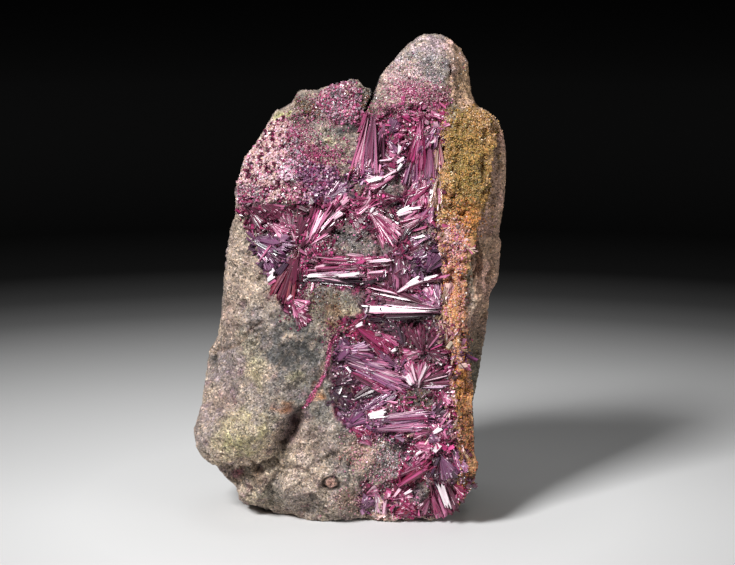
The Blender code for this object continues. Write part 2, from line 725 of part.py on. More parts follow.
def stand_on_origin(items):
    """Bring every piece to metres, with the origin under the middle of the whole box."""
    corners = [vertex.co for item in items for vertex in item.data.vertices]
    middle_x = (min(co.x for co in corners) + max(co.x for co in corners)) / 2
    middle_y = (min(co.y for co in corners) + max(co.y for co in corners)) / 2
    low_z = min(co.z for co in corners)
    shift = Matrix.Translation((-middle_x, -middle_y, -low_z))
    for item in items:
        item.data.transform(Matrix.Scale(MM, 4) @ shift)


def main():
    clear_scene()
    materials = {name: make_material(name) for name in MATERIALS}
    rock = build_rock()
    rock_mesh = rock.data.copy()
    whole = bmesh.new()
    whole.from_mesh(rock_mesh)
    skin = BVHTree.FromBMesh(whole)
    whole.free()
    trim_mesh = inflated_mesh(rock_mesh)
    cut_crevice(rock)
    cut_inclusion(rock, skin)
    split_pieces(rock, WHOLE_ONLY)
    assign(rock, materials["matrix_stone"])

    ochre = build_crust(
        "ochre_crust", OCHRE_OUTLINE, rock_mesh, trim_mesh, OCHRE_THICKNESS, OCHRE_LUMPS
    )
    split_pieces(ochre, WHOLE_ONLY)
    reduce_facets(ochre, CRUST_KEEP)
    ochre_trim_mesh = inflated_mesh(ochre.data)
    assign(ochre, materials["ochre_limonite"])

    rng = random.Random(CRYSTAL_SEED)
    for name, outline in (
        ("druse_shoulder", SHOULDER_CRUST_OUTLINE),
        ("druse_crevice", CREVICE_CRUST_OUTLINE),
    ):
        druse = build_druse(name, outline, rock_mesh, skin, trim_mesh, rng)
        assign(druse, materials["erythrite_druse"])

    for name, fans in SPRAYS.items():
        for spray in build_spray(name, fans, skin, (trim_mesh, ochre_trim_mesh), rng):
            assign(spray, materials["erythrite_crystal"])

    stand_on_origin(list(bpy.data.objects))


main()
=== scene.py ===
"""Erythrite specimen: the looks of the host rock, its crusts and its sprays of crystals.

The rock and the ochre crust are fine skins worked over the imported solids. Each spray of the
frame is replaced by fans of thin laths. Places on the crystal face are picture points, found
on the rock by a line from the camera, so that each mark lies where the photograph has it.
Meshes are worked out in millimetres and stored in metres.
"""
import math
import random

import bmesh
import bpy
import numpy as np
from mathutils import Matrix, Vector, noise
from mathutils.bvhtree import BVHTree


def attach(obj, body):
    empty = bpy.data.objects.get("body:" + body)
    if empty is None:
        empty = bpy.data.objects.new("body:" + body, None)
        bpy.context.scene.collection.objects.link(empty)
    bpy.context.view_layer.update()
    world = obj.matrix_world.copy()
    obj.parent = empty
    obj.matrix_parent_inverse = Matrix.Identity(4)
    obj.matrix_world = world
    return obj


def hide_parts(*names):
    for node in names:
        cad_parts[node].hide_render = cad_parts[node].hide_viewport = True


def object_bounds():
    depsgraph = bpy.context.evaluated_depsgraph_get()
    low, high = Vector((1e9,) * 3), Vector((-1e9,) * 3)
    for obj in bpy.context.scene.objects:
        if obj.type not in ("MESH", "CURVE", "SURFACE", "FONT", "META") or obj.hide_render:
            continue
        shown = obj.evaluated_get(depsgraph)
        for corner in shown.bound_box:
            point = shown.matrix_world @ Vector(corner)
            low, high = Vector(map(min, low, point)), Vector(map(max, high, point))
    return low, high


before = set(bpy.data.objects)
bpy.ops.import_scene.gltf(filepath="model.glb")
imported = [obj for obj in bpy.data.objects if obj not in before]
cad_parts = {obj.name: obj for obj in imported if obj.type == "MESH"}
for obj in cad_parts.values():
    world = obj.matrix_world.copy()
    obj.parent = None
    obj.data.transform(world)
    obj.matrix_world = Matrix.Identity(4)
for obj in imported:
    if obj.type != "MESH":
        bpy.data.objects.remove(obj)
cad_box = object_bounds()

MM = 0.001
CAD_LOW, CAD_HIGH = (np.array(corner) / MM for corner in cad_box)

# The picture's size in pixels, its middle, and millimetres on the face for one of them
PICTURE_SIZE = (735, 565)
MIDDLE_X, MIDDLE_Y = PICTURE_SIZE[0] / 2, PICTURE_SIZE[1] / 2
PIXEL_ON_FACE = 0.175

# Camera: what it looks at, how far above the level it stands, its lens and its distance
CAMERA_TARGET = Vector((3.1, -12.0, 43.2))
CAMERA_RISE = math.radians(10.0)
CAMERA_LENS = 110.0
CAMERA_SENSOR = 36.0
PIXELS_PER_TANGENT = PICTURE_SIZE[0] * CAMERA_LENS / CAMERA_SENSOR
CAMERA_DISTANCE = PIXELS_PER_TANGENT * PIXEL_ON_FACE
VIEW_BACK = Vector((0, -math.cos(CAMERA_RISE), math.sin(CAMERA_RISE)))
VIEW_UP = Vector((0, math.sin(CAMERA_RISE), math.cos(CAMERA_RISE)))
CAMERA_PLACE = CAMERA_TARGET + VIEW_BACK * CAMERA_DISTANCE
EYE, BACK, UP = np.array(CAMERA_PLACE), np.array(VIEW_BACK), np.array(VIEW_UP)

# Which way a broad bright face is turned, to mirror the main light to the camera
GLANCE = (VIEW_BACK + Vector((-0.52, -0.62, 0.59)).normalized()).normalized()

# What the lights look at, and shades of the floor by distance, in metres: a painted pool of
# light, light at the specimen and dark further out
LIGHT_AIM = (0, 0, 0.045)
FLOOR_PAINTED_FALLOFF = (
    (0.05, 0.69), (0.1, 0.5), (0.155, 0.26), (0.19, 0.105), (0.22, 0.041), (0.26, 0.009), (0.34, 0.004),
    (0.9, 0.022),
)

# Lights, each a white panel: place, size and power; and the level of the grey all around
LIGHTS = {
    "key": ((-0.3, -0.42, 0.5), (0.17, 0.17), 6.8),
    "fill": ((0.46, -0.26, 0.1), (0.3, 0.16), 1.0),
    "top": ((0.05, 0.1, 0.55), (0.3, 0.3), 0.4),
}
SURROUND_COLOUR = (0.5, 0.5, 0.5, 1)
SURROUND_LEVEL = 0.04

# The middle of the face in picture points, and by which share a point that misses the stone is
# moved towards it, at most so many times
FACE_MIDDLE = (350, 290)
NUDGE = 0.03
MOST_NUDGES = 40

# How far behind other stone a point must lie to count as hidden from the camera
HIDDEN_DEPTH = 1.5

# How far from the outline the rim is still drawn to it, in picture points, and from what height
# on, in millimetres
RIM_DISTANCES = (7, 13)
FOOT_HEIGHTS = (0.6, 3.0)

# Fineness of the skins worked over the solids, and the angle of an edge that stays sharp
ROCK_VOXEL = 0.61
OCHRE_VOXEL = 0.34
SHARP_ANGLE = math.radians(55)

# Waves of ridge and pit of the skins: length and height in millimetres, and seed; and their slope
ROCK_GRAIN_WAVES = ((1.2, 0.24, 43), (0.6, 0.16, 44))
OCHRE_WAVES = ((4.5, 0.4, 68), (2.2, 0.3, 63), (1.1, 0.26, 64), (0.55, 0.16, 65))
RIDGE_SLOPE = 2.6

# Cutters of the notch and the slit: the length of their steps and where they start before the
# face, in millimetres, and how dark the walls are, which is painted shade for the gap. A point
# lighter than the blank tone is one that the cut has left without a colour.
CUTTER_STEP = 2.0
CUTTER_START = -40
CUT_WALL_PAINTED_SHADE = 0.55
BLANK_TONE = 0.95

# Share of a lath's length at each ring of points and its width there, and how dark its foot is:
# painted shade where it runs into the stone
LATH_RINGS = ((0.0, 0.55), (0.62, 1.0), (1.0, 0.6))
SHORT_RINGS = ((0.0, 0.7), (1.0, 0.75))
LATH_FOOT_PAINTED_SHADE = 0.4

# Rows of points along a blade and along a sheet under a fan, as shares of the length, and how wide
# the sheet's columns are in picture points
BLADE_ROWS = (0.0, 0.4, 0.75, 1.0)
SHEET_ROWS = (0.0, 0.2, 0.4, 0.6, 0.8, 1.0)
SHEET_COLUMN = 1.0

# How far crystals reach into the stone, how dark their skirts are (painted shade where they run
# into it), how far they may clear the stone, and the number of sides of a grain
BLADE_DEPTH = 1.0
SKIRT_PAINTED_SHADE = 0.45
MOST_CLEARANCE = 1.3
GRAIN_SIDES = 3

# By how much the streaks of one crystal may be shifted from those of another
STREAK_SHIFT = 50

# Blades, thin laths and small glints of a fan for each of its laths, the glints being painted
# highlights, and the mixtures with few bright flashes, which are painted highlights too
BLADES_PER_LATH = 0.3
THIN_LATHS = 0.5
PAINTED_GLINTS = 0.25
DULL = ("purple", "deep", "wine", "garnet", "fibre", "ruby")

# How far blades and thin laths of a fan reach, as shares of its length, and the width of a thin
# lath as a share of the fan's
BLADE_REACHES = (0.55, 1.06)
LATH_REACHES = (0.4, 1.06)
LATH_WIDTHS = (0.2, 0.5)

# Width of a ridged blade's columns in picture points, and height of its ridges in millimetres
BLADE_COLUMN = 0.75
BLADE_RIDGE = 0.05

# Lengths and widths of glints, which are painted highlights, in picture points
GLINT_LENGTHS = (1.2, 4.5)
GLINT_WIDTHS = (0.6, 1.5)

# How far a bright face stands out: one that mirrors the light, and any other; and its widest tilt
LIGHT_LIFT, PLAIN_LIFT = 0.62, 0.42
MOST_TILT = 1.6

# The seed of all random draws, numbers of small pieces, the share of single blades among the small
# fans, colours of the grains on bare stone, and the lightest that a grain may be
SEED = 8
FIELD_FANS = 2300
FIELD_FACETS = 0.6
FIELD_GRAINS = 11000
VEIN_GRAINS = 260
RIM_GRAINS = 900
ISLAND_GRAINS = ("grey", "slate", "dark_grey", "slate", "pink", "grey", "shadow")
LIGHTEST_GRAIN = 0.92

# Colours of the stone, the crusts and the crystals, as they look in even light; white and pale
# also serve as painted highlights, and shadow as painted shade
COLOURS = {
    "grey": (132, 127, 121), "dark_grey": (86, 84, 82), "beige": (186, 166, 150),
    "rosy_beige": (182, 156, 146), "mauve": (152, 137, 140), "olive": (160, 151, 116),
    "yellow_green": (176, 182, 120), "ochre": (184, 140, 82), "orange": (192, 126, 68),
    "khaki": (142, 122, 66), "brown": (104, 76, 54), "tan": (172, 142, 112), "side_brown": (190, 154, 126),
    "rosy_tan": (204, 148, 132), "rust": (156, 88, 66), "side_rose": (194, 154, 142),
    "side_olive": (84, 82, 66), "salmon": (238, 198, 196), "bloom": (176, 66, 112), "wine": (104, 34, 62),
    "plum": (74, 36, 62), "maroon": (92, 20, 50), "shadow": (44, 16, 32), "magenta": (162, 42, 98),
    "hot": (200, 74, 134), "pink": (224, 132, 174), "pale": (242, 202, 218), "white": (252, 244, 247),
    "purple": (124, 62, 108), "lilac": (176, 126, 162), "violet": (64, 30, 60), "red": (158, 28, 56),
    "cool_grey": (166, 158, 166), "slate": (98, 96, 98), "dusk": (116, 76, 94), "umber": (46, 32, 26),
    "peach": (236, 180, 128), "cream": (222, 190, 168),
}

# Stains of the stone: colour, centre and half sizes in picture points, tilt, strength. The plum
# stain along the dark groove and the umber and brown ones under the lower left ledge are painted
# shade.
STONE_STAINS = [
    ("beige", 236, 275, 22, 66, 4, 0.95), ("rosy_beige", 226, 318, 12, 26, 0, 0.7),
    ("slate", 290, 345, 36, 48, 20, 0.8), ("dark_grey", 298, 345, 30, 38, 10, 0.9),
    ("mauve", 230, 365, 22, 22, 0, 0.6), ("dusk", 238, 372, 18, 14, 0, 0.25),
    ("dark_grey", 212, 358, 9, 9, 0, 0.7), ("slate", 256, 394, 30, 20, -10, 0.45),
    ("dusk", 224, 404, 20, 16, 0, 0.3), ("olive", 258, 376, 12, 20, 10, 0.55),
    ("beige", 262, 372, 7, 12, 0, 0.3), ("olive", 244, 434, 34, 26, 0, 0.85),
    ("beige", 240, 426, 22, 12, 0, 0.3), ("mauve", 206, 425, 12, 34, 8, 0.65),
    ("beige", 300, 440, 30, 22, 0, 0.5), ("olive", 296, 378, 10, 12, 0, 0.4),
    ("olive", 262, 500, 24, 16, 0, 0.35), ("beige", 300, 480, 34, 26, 0, 0.5),
    ("mauve", 330, 440, 16, 20, 0, 0.35), ("dark_grey", 324, 402, 10, 24, 0, 0.5),
    # The umber stain at the end of this row and the brown one first in the next are painted shadow under the
    # ledge.
    ("slate", 300, 500, 40, 14, 0, 0.4), ("umber", 230, 471, 16, 5, 38, 0.75),
    ("brown", 252, 478, 20, 9, 10, 0.5), ("rosy_beige", 350, 455, 24, 16, 0, 0.4),
    ("brown", 281, 404, 16, 7, 0, 0.35), ("orange", 284, 409, 14, 5, 0, 0.5),
    # The plum stain at the end of this row is painted shade in the hollow along the dark groove.
    ("orange", 318, 391, 6, 8, -30, 0.5), ("plum", 290, 426, 14, 20, 26, 0.55),
    ("bloom", 237, 474, 5, 5, 0, 0.5), ("bloom", 300, 503, 5, 3, 0, 0.35),
    ("brown", 332, 312, 20, 20, 0, 0.4), ("orange", 331, 318, 11, 20, -8, 0.3),
    ("dark_grey", 352, 241, 27, 19, 10, 1), ("slate", 349, 239, 24, 16, 10, 0.6),
    ("grey", 364, 250, 34, 9, 0, 0.8), ("dark_grey", 420, 399, 16, 12, 0, 0.95),
    ("beige", 366, 452, 30, 22, 0, 1), ("rosy_beige", 362, 452, 18, 14, 0, 0.6),
    ("grey", 421, 494, 10, 14, 0, 0.8), ("grey", 352, 296, 22, 9, 0, 0.7),
    ("grey", 394, 188, 12, 12, 0, 0.75), ("beige", 356, 190, 7, 13, 0, 0.8),
    ("salmon", 262, 158, 26, 44, 22, 0.9), ("salmon", 250, 190, 14, 14, 0, 0.8),
    ("grey", 288, 172, 12, 14, 0, 0.55), ("pale", 286, 170, 9, 11, 0, 0.5),
    ("yellow_green", 279, 117, 7, 6, 0, 0.8), ("dark_grey", 308, 104, 15, 12, 0, 0.85),
    ("slate", 346, 129, 16, 9, 0, 0.9), ("dark_grey", 300, 118, 16, 9, -12, 0.7),
    ("slate", 366, 100, 9, 15, 0, 0.9), ("cool_grey", 392, 458, 14, 18, 0, 0.7),
    ("bloom", 338, 104, 20, 18, 0, 0.75), ("bloom", 306, 118, 7, 6, 0, 0.3),
    ("bloom", 310, 148, 10, 8, 0, 0.7), ("wine", 292, 140, 12, 22, 0, 0.5),
    ("purple", 318, 182, 20, 18, 0, 0.7), ("beige", 318, 128, 7, 5, 0, 0.6),
    ("olive", 333, 144, 5, 7, 0, 0.6), ("olive", 281, 224, 5, 9, 0, 0.6),
    ("dark_grey", 262, 236, 8, 12, 40, 0.5), ("cool_grey", 418, 66, 36, 32, 0, 0.85),
    ("slate", 436, 70, 16, 16, 0, 0.6), ("pale", 434, 42, 24, 9, 0, 0.35), ("tan", 463, 74, 9, 30, 0, 0.9),
    ("salmon", 404, 80, 24, 22, 0, 0.4), ("bloom", 412, 92, 22, 9, 10, 0.45),
    ("bloom", 434, 95, 14, 9, 0, 0.35), ("red", 443, 102, 5, 4, 0, 0.6),
    ("dark_grey", 424, 110, 12, 5, 0, 0.7), ("brown", 453, 112, 4, 10, 0, 0.7),
]
BARE_STONE = ("grey", "dark_grey", "beige")

# Stains of the ochre crust in the same form
OCHRE_STAINS = [
    ("orange", 484, 122, 16, 14, 0, 0.45), ("khaki", 462, 150, 22, 26, 0, 0.8),
    ("khaki", 470, 185, 16, 22, 0, 0.6), ("tan", 443, 195, 10, 24, 0, 0.7),
    ("brown", 461, 207, 6, 11, 0, 0.8), ("orange", 470, 215, 10, 14, 0, 0.5),
    ("rosy_tan", 452, 240, 20, 22, 0, 0.9),
    ("rosy_tan", 456, 310, 14, 60, 0, 0.75), ("orange", 462, 385, 7, 40, 0, 0.5),
    ("rust", 466, 440, 12, 40, 0, 0.7), ("rosy_tan", 447, 262, 8, 30, 0, 0.6),
    ("brown", 456, 112, 5, 10, 0, 0.6), ("hot", 455, 232, 9, 9, 0, 0.6), ("purple", 461, 352, 7, 7, 0, 0.7),
    ("magenta", 458, 249, 5, 5, 0, 0.6), ("brown", 470, 445, 9, 50, 0, 0.9),
]

# Outline of the part of the face where crystals cover the stone, in picture points
CRYSTAL_FIELD = [
    (362, 110), (374, 114), (392, 108), (412, 102), (432, 101), (444, 104), (446, 125), (442, 150),
    (439, 175), (440, 206), (446, 222), (466, 226), (467, 250), (452, 258), (443, 280), (445, 300),
    (452, 322), (466, 345), (468, 362), (456, 376), (456, 400), (461, 430), (465, 460), (472, 488),
    (468, 506), (456, 516), (378, 520), (358, 508), (362, 492), (388, 485), (399, 474), (399, 446),
    (370, 437), (350, 434), (338, 415), (332, 400), (332, 345), (344, 336), (342, 318), (364, 318),
    (364, 304), (342, 288), (306, 284), (304, 300), (312, 318), (286, 314), (268, 286), (262, 262),
    (244, 232), (236, 206), (252, 200), (268, 212), (290, 206), (300, 190), (330, 190), (350, 172),
    (358, 140),
]

# Outline of the rusty seam down the front right edge, in picture points
OCHRE_SEAM = [
    (436, 112), (452, 106), (470, 104), (490, 112), (500, 130), (499, 180), (492, 225), (474, 250),
    (468, 300), (470, 350), (471, 400), (475, 440), (478, 468), (476, 492), (462, 500), (462, 440),
    (455, 400), (453, 360), (446, 320), (442, 280), (436, 244), (432, 200), (434, 150),
]

# Outline of the whole specimen, from the block left of the notch down the left side and back up
# the right side, in picture points
OUTLINE = [
    (354.5, 79), (350, 80), (342, 84), (323, 88), (317, 91), (304, 90), (298, 92), (294, 100), (290, 108),
    (284, 111), (278, 109.5), (273, 115), (267, 126), (260, 137), (255, 145), (249, 153), (244, 159),
    (242, 168), (237, 181), (235, 192), (236, 203), (236, 216), (231, 228), (229, 240), (226.5, 251),
    (225, 270), (223, 295), (222, 312), (219, 335), (214, 344), (210, 349), (208, 362), (205, 384),
    (202, 405), (197, 421), (194, 429), (195.5, 440), (197, 451), (202, 457), (209, 462.5), (218, 467),
    (226, 477), (236, 485.5), (239, 495), (238.5, 501.5), (244, 510), (253.5, 514), (260, 517.6),
    (271, 518), (279, 513), (289, 509.6), (306, 511), (312, 515), (321, 519), (329, 515), (344, 517.6),
    (359, 515), (372, 522), (393, 521), (419, 516.5), (444, 517.6), (455.5, 514), (460, 504), (466, 495),
    (473, 487), (475, 476), (478.4, 466), (474, 453), (473, 419), (471.5, 402), (475, 390), (478, 376),
    (480, 361), (483.5, 341), (487, 323.5), (489, 295), (497, 281), (500.7, 244), (498, 235), (501, 218),
    (504, 197), (505, 180), (505, 149), (502, 132.5), (497, 121), (488, 112), (475.5, 106), (471, 93.5),
    (469, 77), (467, 59), (460.5, 49), (450, 39), (443, 35), (434, 34), (425, 34), (418, 38), (409, 44),
    (402, 51), (395, 60), (386, 69), (379, 77), (376, 84), (373, 93.5), (373, 89), (363, 87), (360, 82),
    (357, 80),
]

# Middle line of the seam below the ochre crust, and the ridge of light crumbs along it
OCHRE_SEAM_LINE = [
    (452, 215), (453, 245), (457, 290), (459, 330), (462, 370), (463, 410), (468, 450), (469, 490),
]
SEAM_RIM = [
    (455, 268), (455, 300), (456, 330), (457, 350), (461, 372), (465, 400), (467, 430), (469, 460),
    (471, 484),
]

# Pink veins in the stone, each with half its width
PINK_VEIN = [(342, 326), (330, 346), (328, 360), (325, 373), (321, 382), (310, 398), (304, 408)]
UPPER_VEIN = [(363, 111), (362, 126), (360, 137), (359, 149), (356, 160), (353, 172)]
VEINS = ((PINK_VEIN, 1.3), (UPPER_VEIN, 1.6))

# Grooves and cracks, each with half its width and its depth
DARK_GROOVE = [(304, 408), (298, 424), (291, 440), (286, 446)]
LEDGE_CRACK = [(248, 458), (256, 465), (266, 468), (274, 462), (280, 470)]
LEFT_STEP = [(208, 352), (222, 350), (236, 344), (250, 330), (262, 322)]
TONGUE_CRACK = [(408, 108), (422, 109), (434, 114), (440, 122)]
GROOVES = (
    (DARK_GROOVE, 2.4, 0.5), (LEDGE_CRACK, 1.4, 0.7), (LEFT_STEP, 2.0, 0.5), (TONGUE_CRACK, 1.6, 0.9),
)

# Outlines of the gap between the tongue and the block to its left, and of the slit at its foot,
# each with how far past the face it reaches, in millimetres
NOTCH = [
    (361, 66), (360, 80), (363, 87), (371, 89), (372, 94), (374.5, 93), (377.5, 84), (380.5, 76),
    (387, 66),
]
SLIT = [
    (371.4, 88), (370.6, 95), (367, 103), (363.6, 112), (366.8, 112), (371.4, 104), (375.6, 93),
    (377.4, 85),
]
CUTS = ((NOTCH, 60), (SLIT, 9))

# Swells and hollows of the face: centre and half sizes in picture points, tilt, and rise in
# millimetres, less than zero for a hollow
SWELLS = [
    (236, 434, 34, 24, 10, 1.6), (288, 430, 10, 22, 28, -1.3), (236, 476, 26, 9, 32, -1.8),
    (263, 467, 15, 6, -14, -1.5), (281, 454, 9, 9, -40, -0.9), (272, 486, 5, 18, 10, -0.8),
    (252, 492, 12, 12, 0, 0.7), (296, 490, 14, 20, 0, 0.7), (314, 470, 8, 16, 20, -0.5),
    (340, 502, 12, 14, 0, 0.5), (300, 462, 12, 8, -20, 0.5), (228, 398, 12, 16, 0, 0.4),
    (216, 412, 8, 18, 10, -0.4), (222, 362, 16, 12, 0, -0.5), (262, 386, 26, 26, 0, 0.4),
    (298, 345, 24, 28, 10, -0.6), (330, 425, 14, 24, 0, 0.5), (310, 178, 26, 14, -10, -0.5),
    (286, 172, 12, 14, 0, 0.4), (306, 122, 20, 10, -12, -0.4), (365, 244, 34, 14, 6, -0.4),
    (338, 300, 24, 10, 0, -0.4), (420, 399, 14, 10, 0, -0.4),
]

# Swell and hollow of the ochre crust in the same form
OCHRE_SWELLS = [(445, 196, 8, 22, 8, 0.9), (461.5, 206, 6, 11, 0, -1.6)]

# Heights in the picture from where on, and down to where, the right side turns olive, the face
# turns rougher, and the light rim of the seam fades
OLIVE_HEIGHTS = (290, 370)
LOW_FACE_HEIGHTS = (400, 450)
RIM_FADE_HEIGHTS = (375, 410)

# The rimmed inclusion low on the face: centre and half sizes in picture points
INCLUSION = (330.5, 484, 8.2, 6.4)

# Mixtures of colours of the laths, as shares of named colours
PALETTES = {
    "rose": {"maroon": 2, "magenta": 3, "hot": 1.5, "pink": 2, "pale": 0.5},
    "bright": {"maroon": 1, "magenta": 3, "hot": 3, "pink": 2, "pale": 0.7},
    "wine": {"shadow": 2, "maroon": 4, "wine": 3, "magenta": 1.5, "pink": 0.5},
    "deep": {"shadow": 3, "maroon": 3, "violet": 2, "plum": 2, "lilac": 0.4},
    "purple": {"violet": 2, "purple": 4, "plum": 1, "lilac": 2, "pink": 0.6},
    "speckle": {"bloom": 2, "pink": 2, "slate": 3, "wine": 1.5, "pale": 1.4, "magenta": 1, "cool_grey": 2},
    "amethyst": {"purple": 3, "lilac": 2.5, "plum": 1.5, "pale": 0.9, "bloom": 1, "violet": 1},
    "mauve": {"purple": 3, "lilac": 3, "pink": 2, "magenta": 1, "pale": 0.6},
    "garnet": {"maroon": 3, "wine": 3, "red": 2, "magenta": 1, "rust": 0.6},
    "ruby": {"maroon": 2, "red": 3, "magenta": 3, "hot": 1},
    "fibre": {"wine": 3, "plum": 2, "magenta": 1, "lilac": 1.6, "pink": 1},
    # This mixture stands for pale crystals and for painted glare on the white bands and flakes.
    "pale_and_glare": {"pink": 2, "pale": 3, "white": 2, "lilac": 1},
    "blush": {"salmon": 4, "pale": 2.5, "pink": 1, "wine": 0.8, "cream": 1.5, "white": 0.6},
    "cream": {"cream": 3, "salmon": 2, "pink": 1, "grey": 1, "red": 0.5},
    "rust": {"tan": 3, "salmon": 1.5, "pink": 1, "magenta": 1, "ochre": 1},
    "dust": {"bloom": 2, "pink": 2, "salmon": 1.5, "grey": 2, "wine": 1.5, "pale": 1, "magenta": 1},
    "crumb_orange": {"orange": 3, "ochre": 2, "rosy_tan": 1, "rust": 0.8, "brown": 0.5},
    "crumb_khaki": {"khaki": 3, "ochre": 2.5, "olive": 0.5, "brown": 0.8, "tan": 0.8},
    "crumb_tan": {"tan": 2, "ochre": 2.5, "cream": 1, "brown": 0.5, "khaki": 0.8},
    "crumb_rosy": {"rosy_tan": 3, "tan": 1.5, "salmon": 1.2, "orange": 1.2, "pink": 0.5, "wine": 0.5,
        "bloom": 0.4},
    "crumb_peach": {"peach": 4, "cream": 1.5, "orange": 1.5, "ochre": 1, "rust": 0.4},
    "crumb_rust": {"rust": 2.5, "brown": 3, "umber": 1, "orange": 0.8, "rosy_tan": 0.7, "wine": 0.6},
    "snow": {"grey": 2.5, "beige": 1.5, "white": 1.2, "pale": 1.6, "dark_grey": 2, "mauve": 1,
        "bloom": 0.3},
    "soil": {"dark_grey": 2, "brown": 1.5, "rust": 1, "wine": 1, "beige": 1.5, "khaki": 1},
}

